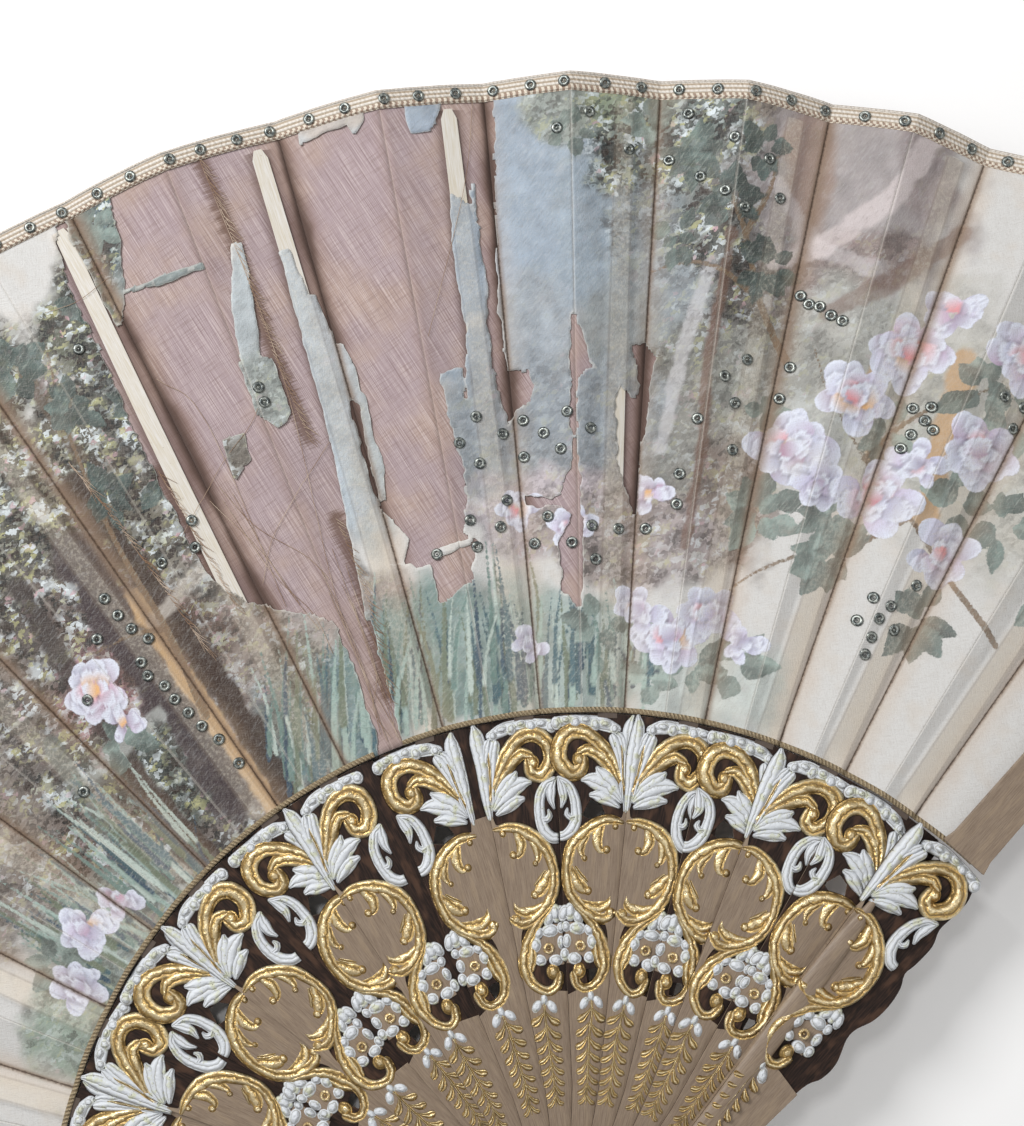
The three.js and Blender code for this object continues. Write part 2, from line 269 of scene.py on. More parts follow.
class Finish:
    """A material whose Principled shader is fed by terms."""

    def __init__(self, name, **fixed):
        self.material = bpy.data.materials.new(name)
        self.material.use_nodes = True
        self.tree = self.material.node_tree
        self.tree.nodes.clear()
        self.shader = self.tree.nodes.new("ShaderNodeBsdfPrincipled")
        output = self.tree.nodes.new("ShaderNodeOutputMaterial")
        self.tree.links.new(self.shader.outputs["BSDF"], output.inputs["Surface"])
        self.base = None
        self.give(**fixed)

    def feed(self, socket, value):
        if isinstance(value, Term):
            self.tree.links.new(value.socket, socket)
        elif socket.type == "RGBA" and len(value) == 3:
            socket.default_value = (*value, 1)
        else:
            socket.default_value = value

    def give(self, **values):
        """Set or link the shader's sockets: base_color is Base Color."""
        for name, value in values.items():
            self.feed(self.shader.inputs[name.replace("_", " ").title().replace("Ior", "IOR")], value)

    def node(self, kind, settings, inputs, output=0):
        made = self.tree.nodes.new(kind)
        for name, value in settings.items():
            setattr(made, name, value)
        for name, value in inputs.items():
            self.feed(made.inputs[name], value)
        return Term(self, made.outputs[output])

    def attribute(self, name, output="Fac"):
        return self.node("ShaderNodeAttribute", {"attribute_name": name}, {}, output)

    def place(self, along=1, across=1, turn=0):
        """The piece's own UV map in centimetres, turned, then scaled along and across the turned axis."""
        uv = self.node("ShaderNodeUVMap", {"uv_map": "UVMap"}, {})
        return self.node("ShaderNodeMapping", {"vector_type": "TEXTURE"},
                         {"Vector": uv, "Rotation": (0, 0, radians(turn)),
                          "Scale": (1 / along, 1 / across, 1)})

    def noise(self, along, across, detail=3.0, roughness=0.55, turn=0, output=0):
        """Noise with this many spots to the centimetre along and across a turned axis."""
        return self.node("ShaderNodeTexNoise", {}, {"Vector": self.place(along, across, turn), "Scale": 1,
                                                   "Detail": detail, "Roughness": roughness}, output)

    def cells(self, vector, output="Distance"):
        return self.node("ShaderNodeTexVoronoi", {}, {"Vector": vector, "Scale": 1}, output)

    def shifted(self, vector, amount, size):
        """A vector moved about by noise, so that what reads it gets ragged outlines."""
        push = self.noise(size, size, 2, output="Color")
        return self.node("ShaderNodeVectorMath", {"operation": "MULTIPLY_ADD"},
                         {0: push, 1: (amount, amount, 0), 2: vector})

    def mix(self, share, first, second):
        """Blend two colours; a tuple is a screen colour from 0 to 255."""
        first, second = [srgb(*tone) if isinstance(tone, tuple) else tone for tone in (first, second)]
        return self.node("ShaderNodeMix", {"data_type": "RGBA"}, {0: share, 6: first, 7: second}, 2)

    def coat(self, share, tone):
        """Lay a colour over the base colour."""
        self.base = self.mix(share, self.base, tone)

    def fade(self, value, start, end):
        """0 before start and 1 after end, with a soft step between; start may be the larger."""
        return self.node("ShaderNodeMapRange", {"interpolation_type": "SMOOTHSTEP"},
                         {"Value": value, "From Min": start, "From Max": end})

    def separate(self, vector, output):
        return self.node("ShaderNodeSeparateXYZ", {}, {"Vector": vector}, output)

    def bump(self, height, distance, strength=1.0):
        self.give(normal=self.node("ShaderNodeBump", {}, {"Height": height, "Distance": distance,
                                                          "Strength": strength}))


def finish(name, **fixed):
    """Make a finish's function return its material, made when it is first asked for."""
    def wrap(paint):
        @functools.cache
        def material():
            f = Finish(name, **fixed)
            paint(f, colours())
            f.give(base_color=f.base)
            return f.material
        return material
    return wrap


@finish("satin wood", specular_ior_level=0.45)
def wood_finish(f, c):
    """Satin brown wood, with its grain along the stick."""
    grain = f.noise(34, 1.6, 5, 0.65)
    pores = f.noise(80, 4, 3, 0.7)
    patches = f.noise(5, 0.7, 2)
    f.base = f.mix(f.fade(grain, 0.26, 0.74), c.wood_dark, c.wood)
    f.coat(f.fade(patches, 0.45, 0.75) * 0.4, (166, 146, 120))
    f.coat(f.fade(pores, 0.56, 0.7) * 0.4, (74, 54, 40))
    f.give(roughness=0.36 + pores * 0.2)
    f.bump(grain * 0.6 + pores * 0.6, 0.00012, 0.8)


@finish("stained ground", specular_ior_level=0.25)
def ground_finish(f, c):
    """Dark stained wood in the openings of the carving; its darkness is partly painted shade, for the depth
    of the openings.
    """
    grain = f.noise(26, 1.4, 4, 0.6)
    patches = f.noise(3, 1.2, 2)
    f.base = f.mix(f.fade(grain, 0.38, 0.72), (26, 16, 12), c.ground)
    f.coat(f.fade(patches, 0.48, 0.7) * 0.55, (88, 63, 48))
    f.give(roughness=0.6)
    f.bump(grain, 0.00015, 0.7)


@finish("gilding")
def gold_finish(f, c):
    """Gold leaf over carved relief, rubbed through in patches, with painted shade in its grooves and along
    its edges, and a painted highlight on its crests.
    """
    across = f.attribute("across")
    along = f.attribute("along")
    dome = (1.001 - across * across).most(0) ** 0.5
    coarse = f.noise(4.5, 4.5, 3, 0.55)
    fine = f.noise(20, 20, 4, 0.7)
    grit = f.noise(60, 60, 2, 0.7)
    flutes = (across * 3.1 + (coarse - 0.5) * 2.6 + 0.9).wave().size()
    lobes = (along * 0.62 - across.size() * 1.5 + (coarse - 0.5) * 3.4).wave().size()
    rubbed = f.fade(f.noise(1.9, 1.9, 3, 0.6), 0.47, 0.6)
    # Painted shade in the grooves of the flutes and lobes; it also dulls the metal there.
    groove_shade = f.fade(flutes, 0.5, 0.06).most(f.fade(lobes, 0.16, 0.02) * 0.6)
    worn = f.fade(fine * 0.7 + grit * 0.35 + coarse * 0.12, 0.66, 0.78)
    f.base = f.mix(f.fade(coarse * 0.5 + fine * 0.5, 0.36, 0.56), (206, 166, 98), c.gold)
    # Painted highlight on the crests of the flutes.
    f.coat(f.fade(fine * 0.6 + flutes * 0.35, 0.5, 0.64) * 0.8, (255, 240, 200))
    f.coat(groove_shade * 0.78, (104, 78, 46))
    f.coat(rubbed * 0.5, (138, 112, 70))
    f.coat(worn * 0.6, c.gold_worn)
    # Painted shade along both edges of each strand.
    f.coat(f.fade(dome, 0.56, 0.2) * 0.9, (62, 42, 28))
    f.give(roughness=0.24 + fine * 0.2, metallic=0.8 - worn * 0.4 - groove_shade * 0.4 - rubbed * 0.25)
    relief = dome * 1.0 + flutes * 0.5 + lobes * 0.16 + fine * 0.12 + grit * 0.04 + coarse * 0.5
    f.bump(relief, 0.0012, 1.0)


@finish("white paint", specular_ior_level=0.5)
def white_finish(f, c):
    """Thick white paint on the carving, yellowed and pitted, with painted shade in its veins and along its
    edges.
    """
    across = f.attribute("across")
    dome = (1.001 - across * across).most(0) ** 0.5
    patches = f.noise(3.2, 3.2, 3)
    fine = f.noise(26, 26, 4, 0.7)
    pits = f.fade(f.cells(f.place(11, 11)), 0.2, 0.08) * f.fade(patches, 0.45, 0.6)
    veins = (across * 3.6 + (patches - 0.5) * 2.8 + 0.8).wave().size()
    # Painted shade in the grooves of the veins.
    lines = f.fade(veins, 0.34, 0.03)
    f.base = f.mix(f.fade(patches, 0.52, 0.68) * 0.7, c.white, c.white_aged)
    f.coat(lines * 0.62, (138, 134, 118))
    f.coat(pits * 0.8, (92, 80, 70))
    f.coat(f.fade(fine, 0.56, 0.7) * 0.3, (150, 150, 148))
    # Painted shade along both edges of each strip and bead.
    f.coat(f.fade(dome, 0.56, 0.2) * 0.88, (80, 62, 48))
    f.give(roughness=0.3 + fine * 0.25)
    f.bump(dome * 0.7 + veins * 0.4 + patches * 0.5 + fine * 0.15 - pits * 0.3, 0.001, 0.9)


@finish("rib wood", specular_ior_level=0.3)
def rib_finish(f, c):
    """Bare cream wood of the ribs, with fine fibres and a few specks."""
    fibres = f.noise(30, 1.2, 4, 0.6)
    patches = f.noise(2, 0.5, 3)
    specks = f.fade(f.cells(f.place(4, 2)), 0.05, 0.02)
    f.base = f.mix(f.fade(fibres, 0.3, 0.7), (196, 188, 172), c.rib)
    f.coat(f.fade(patches, 0.42, 0.75) * 0.35, (200, 188, 164))
    f.coat(specks * 0.7, (120, 90, 60))
    root = f.fade(f.separate(f.place(), "Y"), BLADE_TOP / 10 + 0.28, BLADE_TOP / 10 + 0.1)
    f.coat(root * 0.9, c.ground)
    f.give(roughness=0.62)
    f.bump(fibres, 0.0001, 0.6)


@finish("backing silk", specular_ior_level=0.2, sheen_weight=0.1, sheen_roughness=0.5)
def backing_finish(f, c):
    """Worn silk gauze: slanting light threads, brown stains along the frayed folds, painted shade by the
    valleys, ridges and ribs, and a painted highlight on the ridges.
    """
    valley = f.attribute("valley")
    ridge = f.attribute("ridge")
    slant = -58
    fine = f.noise(0.5, 40, 2, 0.6, turn=slant)
    long_threads = f.noise(0.3, 18, 4, 0.75, turn=slant)
    weft = f.noise(26, 1.2, 2, 0.6, turn=slant)
    patches = f.noise(0.4, 0.4, 4)
    fray = f.noise(1.2, 20, 2, turn=-slant * 0.4)
    f.base = f.mix(f.fade(patches, 0.42, 0.68) * 0.8, c.backing, (170, 148, 136))
    f.coat(f.fade(long_threads, 0.52, 0.74) * 0.5, c.backing_light)
    f.coat(f.fade(fine, 0.52, 0.64) * 0.5, c.backing_light)
    f.coat(f.fade(fine, 0.47, 0.34) * 0.55, (116, 96, 96))
    f.coat(f.fade(weft, 0.5, 0.66) * 0.36, (126, 106, 102))
    # Painted shade beside the valleys: a broad soft band, then a darker one close in.
    soft = f.fade(valley + (patches - 0.5) * 9, 9, 0)
    f.coat(soft * soft * 0.72, (120, 92, 76))
    deep = f.fade(valley + (patches - 0.5) * 5, 4.5, 0.3)
    f.coat(deep * deep * 0.74, (60, 44, 37))
    worn = f.fade(f.attribute("frayed") + (fray - 0.5) * 6, 3.8, 0.8)
    f.coat(worn * 0.72, (92, 66, 50))
    # Painted shade near the ridges, then a painted highlight on them.
    f.coat(f.fade(ridge + (patches - 0.5) * 5, 4, 0) * 0.3, (140, 116, 106))
    f.coat(f.fade(ridge, 0.5, 0.1) * 0.3, (196, 176, 166))
    # Painted shadow beside each rib.
    f.coat(f.fade(f.attribute("rib"), 3.2, 0.2) * 0.62, (98, 78, 72))
    f.give(roughness=0.82)
    f.bump(fine * 0.5 + weft * 0.3 + long_threads * 0.5, 0.00022, 0.8)


@finish("painted silk", specular_ior_level=0.3)
def paint_finish(f, c):
    """Gouache on silk. Washes come from the tint; leaves and petals have crisp edges from their distances."""
    names = ("cover", "busy", "valley", "ridge", "rib")
    cover, busy, valley, ridge, rib = (f.attribute(name) for name in names)
    wobble = f.noise(9, 9, 3, 0.6)
    grain = f.noise(22, 22, 3, 0.65)
    brush = f.noise(3, 15, 3, 0.6, turn=52)
    ruffle = (wobble - 0.5) * 1.4 + (grain - 0.5) * 0.5
    tint = f.attribute("tint", "Color")
    f.base = f.mix(f.fade(brush, 0.5, 0.68) * cover * 0.5, tint, f.mix(0.28, tint, (220, 222, 222)))
    f.coat(f.fade(brush, 0.46, 0.3) * cover * 0.25, (96, 92, 86))
    add_dabs(f, busy)
    leaf = f.fade(f.attribute("leaf_edge") + ruffle, 0.3, -0.1)
    foliage = f.mix(f.fade(brush, 0.5, 0.7) * 0.3, f.attribute("leaf_tint", "Color"), (184, 194, 184))
    foliage = f.mix(f.fade(wobble, 0.5, 0.34) * 0.3, foliage, (78, 88, 82))
    f.coat(leaf * 0.9, foliage)
    petal = f.fade(f.attribute("petal_edge") + ruffle * 0.5, 0.3, -0.1)
    rim = f.fade(f.attribute("petal_line") + (wobble - 0.5) * 0.8, 0.9, 0.1)
    bloom = f.mix(rim * 0.55, f.attribute("petal_tint", "Color"), (224, 228, 240))
    bloom = f.mix(f.fade(brush, 0.5, 0.3) * 0.25, bloom, (168, 152, 172))
    f.coat(petal, bloom)
    threads = f.noise(42, 3, 2, turn=8) * 0.5 + f.noise(3, 42, 2, turn=8) * 0.5
    f.coat(f.fade(threads, 0.47, 0.58) * (0.24 - cover * 0.12), (172, 166, 160))
    bare = f.fade(grain * 0.6 + wobble * 0.5, 0.7, 0.8)
    f.coat(bare * cover * 0.5, (150, 130, 118))
    f.coat(f.fade(grain, 0.5, 0.7) * 0.2, (140, 130, 120))
    # Dark band beside each valley: stained, split silk and painted shade in the fold.
    f.coat((f.attribute("dark") * (0.7 + grain * 0.5)).clamp() * 0.85, c.stain)
    patches = f.noise(0.8, 0.8, 3)
    # Painted warm shade beside the valleys.
    warm_valley_shade = f.fade(valley + (patches - 0.5) * 8, 7, 0)
    f.coat(warm_valley_shade * (0.32 - cover * 0.16), (190, 162, 132))
    f.coat(f.fade(patches, 0.5, 0.72) * (0.32 - cover * 0.28), (196, 184, 170))
    # Painted shade in the crease of each valley.
    f.coat(f.fade(valley + (wobble - 0.5) * 1.4, 0.5, 0.05) * 0.6, (64, 50, 42))
    # Light line along each ridge: worn silk and a painted highlight.
    f.coat(f.fade(ridge + (grain - 0.5) * 0.9, 0.5, 0.1) * 0.22, (226, 220, 210))
    over_rib = f.fade(rib, 0.15, -0.35)
    # Painted light: a warm, lighter band on the bare silk over and beside the ribs, lifting the shade there.
    unpainted = (1 - petal) * (1 - leaf) * (0.3 - cover * 0.27)
    f.coat(f.fade(rib, 1.6, -0.6) * unpainted, (222, 204, 178))
    f.coat(over_rib * (0.08 + f.fade(wobble, 0.48, 0.62) * 0.16), (222, 214, 198))
    # Painted shade along the edges of each rib.
    f.coat(f.fade((rib - 0.3).size(), 0.5, 0.05) * 0.2, (110, 96, 84))
    f.coat(f.fade(f.attribute("torn_edge") + (grain - 0.5) * 0.5, 0.4, 0.1) * 0.35, (214, 212, 206))
    f.give(roughness=0.74 - cover * 0.16 - busy * 0.14)
    f.bump(brush * cover * 0.35 + grain * 0.5 + petal * 0.3 + leaf * 0.2 + threads, 0.00026, 0.8)


def add_dabs(f, busy):
    """Brush dabs of two sizes, light and dark, in clumps where the painting is busy."""
    clumps = f.fade(f.noise(1.3, 1.3, 3), 0.4, 0.62)
    for along, across, turn, strength in ((2.6, 4.2, 28, 0.74), (6.5, 10, 40, 0.82)):
        dab = f.cells(f.shifted(f.place(along, across, turn), 2.2, 6), "Color")
        chance = f.separate(dab, "X")
        kind = f.separate(dab, "Y")
        light = f.mix(f.fade(kind, 0.4, 0.6), (218, 227, 231), (176, 175, 126))
        light = f.mix(f.fade(kind, 0.9, 0.93), light, (196, 160, 168))
        deep = f.mix(f.fade(kind, 0.4, 0.6), (24, 29, 29), (40, 29, 24))
        f.coat(f.fade(chance, 0.6, 0.78) * busy * clumps * strength, light)
        f.coat(f.fade(chance, 0.46, 0.3) * busy * (1.25 - clumps) * strength, deep)


@finish("braid", specular_ior_level=0.4)
def braid_finish(f, c):
    """Woven cream braid, with brown silk between its cords and a row of loops along its lower edge."""
    place = f.place()
    along = f.separate(place, "X")
    over = f.separate(place, "Y")
    fine = f.noise(30, 30, 3)
    lines = (over * 47).wave() * 0.5 + 0.5
    twist = (along * 52 + over * 30).wave() * 0.5 + 0.5
    loops = (along * 36 + (over * 20).wave() * 0.6).wave() * 0.5 + 0.5
    cords = f.mix(f.fade(lines, 0.3, 0.6), (170, 154, 134), (222, 216, 208))
    cords = f.mix(f.fade(twist, 0.55, 0.95) * 0.3, cords, (172, 156, 136))
    picots = f.mix(f.fade(loops, 0.42, 0.6), (148, 126, 110), (218, 208, 192))
    f.base = f.mix(f.fade(over, LEAF_OUTER / 10 - 0.4, LEAF_OUTER / 10 - 0.42), cords, picots)
    f.coat(f.fade(fine, 0.48, 0.7) * 0.4, c.braid)
    f.coat(f.fade(fine, 0.5, 0.3) * 0.35, (140, 116, 88))
    f.give(roughness=0.6)
    f.bump(lines * 0.5 + twist * 0.3 + loops * 0.3 + fine * 0.5, 0.0005, 0.7)


@finish("gilt thread")
def gilt_thread_finish(f, c):
    """Narrow strip of tarnished gold thread at the leaf's inner edge."""
    place = f.place()
    twist = (f.separate(place, "X") * 52 + f.separate(place, "Y") * 26).wave() * 0.5 + 0.5
    fine = f.noise(28, 28, 3)
    f.base = f.mix(f.fade(twist, 0.2, 0.8) * 0.6, (144, 126, 98), (190, 174, 142))
    f.coat(f.fade(fine, 0.45, 0.62) * 0.6, (122, 104, 82))
    f.give(metallic=0.2, roughness=0.5)
    f.bump(twist + fine, 0.0005, 0.8)


@finish("tarnished metal")
def spangle_finish(f, c):
    """Thin tarnished metal."""
    spots = f.noise(9, 9, 4, 0.6)
    f.base = f.mix(f.fade(spots, 0.42, 0.6), c.spangle, (166, 170, 164))
    f.give(metallic=0.7, roughness=0.28 + spots * 0.2)
    f.bump(spots, 0.0001, 0.6)


@finish("frayed thread", specular_ior_level=0.3)
def thread_finish(f, c):
    """Loose silk threads."""
    tone = f.noise(0.8, 0.8, 3)
    f.base = f.mix(f.fade(tone, 0.35, 0.7), c.thread, (192, 174, 156))
    f.give(roughness=0.7)


@finish("worn brass")
def brass_finish(f, c):
    """Worn brass of the rivet."""
    where = f.node("ShaderNodeTexCoord", {}, {}, "Object")
    spots = f.node("ShaderNodeTexNoise", {}, {"Vector": where, "Scale": 900, "Detail": 4})
    f.base = f.mix(f.fade(spots, 0.4, 0.7), (190, 156, 92), (122, 92, 54))
    f.give(metallic=0.9, roughness=0.28 + spots * 0.25)
    f.bump(spots, 0.0002, 0.5)


# Mesh tools


def new_mesh():
    """An empty mesh with the layers that the finishes read."""
    mesh = bmesh.new()
    mesh.loops.layers.uv.new("UVMap")
    mesh.verts.layers.float.new("across")
    mesh.verts.layers.float.new("along")
    return mesh


def made(result, kind):
    return [item for item in result["geom"] if isinstance(item, kind)]


def lay_uv(mesh):
    """UV in centimetres from the plan of the mesh as it was drawn."""
    layer = mesh.loops.layers.uv["UVMap"]
    for face in mesh.faces:
        for loop in face.loops:
            loop[layer].uv = (loop.vert.co.x / 10, loop.vert.co.y / 10)


def plate(mesh, outline, bottom, top, holes=()):
    """Fill an outline, less its holes, and raise it to a plate."""
    edges = []
    for loop in (outline, *holes):
        corners = [mesh.verts.new((x, y, bottom)) for x, y in loop]
        edges += [mesh.edges.new(pair) for pair in zip(corners, corners[1:] + corners[:1])]
    filled = made(bmesh.ops.triangle_fill(mesh, use_beauty=True, edges=edges), bmesh.types.BMFace)
    raised = bmesh.ops.extrude_face_region(mesh, geom=filled)
    bmesh.ops.translate(mesh, vec=(0, 0, top - bottom), verts=made(raised, bmesh.types.BMVert))


def smooth_path(stations, step):
    """Points about a step apart on a smooth curve through the stations; further columns go along."""
    knots = np.array(stations, float)
    knots = np.vstack([2 * knots[0] - knots[1], knots, 2 * knots[-1] - knots[-2]])
    rows = []
    for a, b, c, d in zip(knots, knots[1:], knots[2:], knots[3:]):
        count = max(2, ceil(np.hypot(*(c - b)[:2]) / step))
        for t in np.arange(count) / count:
            rows.append(0.5 * (2 * b + (c - a) * t + (2 * a - 5 * b + 4 * c - d) * t**2
                               + (3 * b - a - 3 * c + d) * t**3))
    rows.append(knots[-2])
    return np.array(rows)


def rounded_ends(path, start, end):
    """Add short stations so that a strip ends in a round tip where asked."""
    path = list(path)
    for wanted, index, inner in ((start, 0, 1), (end, -1, -2)):
        if not wanted:
            continue
        tip = path[index]
        ahead = tip[:2] - path[inner][:2]
        ahead = ahead / max(np.hypot(*ahead), 1e-6)
        extra = [np.array([*(tip[:2] + ahead * tip[2] * sin(a)), tip[2] * cos(a)])
                 for a in (0.55, 1.05, 1.45)]
        path = extra[::-1] + path if index == 0 else path + extra
    return np.array(path)


def strip(mesh, stations, bottom, top, step=0.9, sides=6, tips=(True, True)):
    """Lay a half-round strip through stations of x, y and half width: a section is extruded along them."""
    path = rounded_ends(smooth_path(stations, step), *tips)
    across = mesh.verts.layers.float["across"]
    along = mesh.verts.layers.float["along"]
    section = []
    for k in range(sides + 1):
        angle = pi * k / sides
        corner = mesh.verts.new((cos(angle), 0, sin(angle)))
        corner[across] = cos(angle)
        section.append(corner)
    first = edges = [mesh.edges.new(pair) for pair in zip(section, section[1:] + section[:1])]
    ahead = np.gradient(path[:, :2], axis=0)
    widest = max(path[:, 2].max(), 1e-3)
    previous = Matrix.Identity(4)
    travelled = 0.0
    for k, (x, y, w) in enumerate(path):
        if k:
            grown = bmesh.ops.extrude_edge_only(mesh, edges=edges)
            section = made(grown, bmesh.types.BMVert)
            edges = [edge for edge in made(grown, bmesh.types.BMEdge) if edge.is_boundary]
            travelled += float(np.hypot(*(path[k] - path[k - 1])[:2]))
        width = max(float(w), 0.03)
        height = (top - bottom) * min(1.0, 0.35 + 0.65 * (width / widest) ** 0.5)
        height *= min(1.0, (width / 0.7) ** 0.5)
        heading = atan2(-ahead[k][0], ahead[k][1])
        here = (Matrix.Translation((x, y, bottom)) @ Matrix.Rotation(heading, 4, "Z")
                @ Matrix.Diagonal((width, 1, height, 1)))
        bmesh.ops.transform(mesh, matrix=here @ previous.inverted(), verts=section)
        for corner in section:
            corner[along] = travelled
        previous = here
    for rim in (first, edges):
        bmesh.ops.contextual_create(mesh, geom=rim)


def bead(mesh, x, y, long, wide, turn, bottom, top):
    """A low rounded bead: half widths long and wide, its long side turned from the stick's axis."""
    across = mesh.verts.layers.float["across"]
    ball = bmesh.ops.create_icosphere(mesh, subdivisions=2, radius=1)["verts"]
    for corner in ball:
        corner[across] = min(1.0, hypot(corner.co.x, corner.co.y))
    place = (Matrix.Translation((x, y, bottom)) @ Matrix.Rotation(radians(turn), 4, "Z")
             @ Matrix.Diagonal((wide, long, top - bottom, 1)))
    bmesh.ops.transform(mesh, matrix=place, verts=ball)


def ring(mesh, x, y, radius, wire, height, turns=10, sides=5, squash=1.0):
    """A closed ring, spun from one small circle."""
    circle = bmesh.ops.create_circle(mesh, segments=sides, radius=1, cap_ends=False)["verts"]
    upright = (Matrix.Translation((x + radius, y, height)) @ Matrix.Rotation(pi / 2, 4, "X")
               @ Matrix.Diagonal((wire, wire * squash, 1, 1)))
    bmesh.ops.transform(mesh, matrix=upright, verts=circle)
    edges = list({edge for corner in circle for edge in corner.link_edges})
    bmesh.ops.spin(mesh, geom=circle + edges, cent=(x, y, height), axis=(0, 0, 1), angle=2 * pi,
                   steps=turns, use_merge=True)


def to_data(name, mesh, finishes=()):
    """Close a mesh that was being built, and give it its finishes."""
    data = bpy.data.meshes.new(name)
    mesh.to_mesh(data)
    mesh.free()
    for item in finishes:
        data.materials.append(item())
    return data


def new_piece(name, mesh, finishes, matrix=PLAN, smooth=None):
    bmesh.ops.recalc_face_normals(mesh, faces=mesh.faces)
    return new_object(name, to_data(name, mesh, finishes), matrix, smooth)


def new_object(name, data, matrix=None, smooth=None):
    """Put a mesh in the scene, at the origin. smooth is the angle under which its faces shade as one."""
    if matrix is not None:
        data.transform(matrix)
    if smooth is not None:
        data.shade_smooth()
        if smooth < 180:
            data.set_sharp_from_angle(angle=radians(smooth))
    piece = bpy.data.objects.new(name, data)
    bpy.context.scene.collection.objects.link(piece)
    return piece


def soften(piece, width):
    """Round a piece's hard edges a little."""
    bevel = piece.modifiers.new("soft edges", "BEVEL")
    bevel.width = width
    bevel.segments = 2
    bevel.limit_method = "ANGLE"
    bevel.angle_limit = radians(40)
    bevel.harden_normals = False


def thicken(piece):
    """Give a sheet of silk its thickness."""
    wall = piece.modifiers.new("cloth thickness", "SOLIDIFY")
    wall.thickness = SILK_THICKNESS * MM
    wall.offset = 0


# Sticks and guards


def head_arc(inset):
    """Half round end of a stick, below the rivet."""
    radius = HEAD_RADIUS - inset
    angles = [pi + pi * k / ROUND_STEPS for k in range(ROUND_STEPS + 1)]
    return [(radius * cos(a), radius * sin(a)) for a in angles]


def bore():
    """The rivet's hole."""
    angles = [2 * pi * k / ROUND_STEPS for k in range(ROUND_STEPS)]
    return [(BORE_RADIUS * cos(a), BORE_RADIUS * sin(a)) for a in angles]


def blade_outline():
    """The flat blade of a stick, without its rib."""
    shoulder = BLADE_TOP - 3.2
    corner = half_width(shoulder) - 1.6
    side = [(HEAD_RADIUS, SHAFT_TOP), (half_width(GORGE_TOP), GORGE_TOP), (half_width(shoulder), shoulder)]
    side += [(x, sqrt(BLADE_TOP**2 - x**2)) for x in (corner, corner * 0.6, corner * 0.2)]
    return head_arc(0) + side + [(-x, y) for x, y in reversed(side)]


# Openings cut right through the ground: beside the top petal, under the flowers, and by the pendant.
PIERCINGS = [
    [(4.2, 99.5), (6.4, 96.6), (8.4, 94.2), (6.4, 93.8), (4.6, 95.4), (3.2, 98.2)],
    [(5.4, 83.2), (8.6, 84), (9.8, 82.2), (8.4, 79.8), (6, 79.6)],
    [(6.6, 127.6), (9.4, 132.4), (12.6, 131.2), (13.6, 128.2), (9.6, 126.4)],
]

# Inner edge of the carved frame round the plain shield: distance from the rivet, and from the shield seam.
SHIELD_EDGE = [(78, 8), (81, 3.4), (86, 1.9), (93, 1.9), (98, 4), (101, 8.6), (105, 12.4), (110, 14.2),
               (116, 14.6), (121, 12.6), (124.5, 8.6), (126, 4)]


def plain_outline(left):
    """Raised plain wood: the shaft, then a strip and the shield along the shield seam."""
    side = 1 if left else -1
    inset = 0.15
    top = SHIELD_EDGE[-1][0]
    points = [(side * x, y) for x, y in head_arc(inset)]
    points += [(side * (half_width(v) - inset), v) for v in (SHAFT_TOP, SHIELD_EDGE[0][0], top, 130.5)]
    points += [carved(left, motif_width(v) - width, v) for v, width in ((130.5, 0.7), (127.5, 1.3))]
    inner = smooth_path([(width, v) for v, width in reversed(SHIELD_EDGE)], 1.5)
    points += [carved(left, motif_width(v) - width, v) for width, v in inner]
    points += [(-side * (half_width(v) - inset), v) for v in (76, SHAFT_TOP)]
    return points


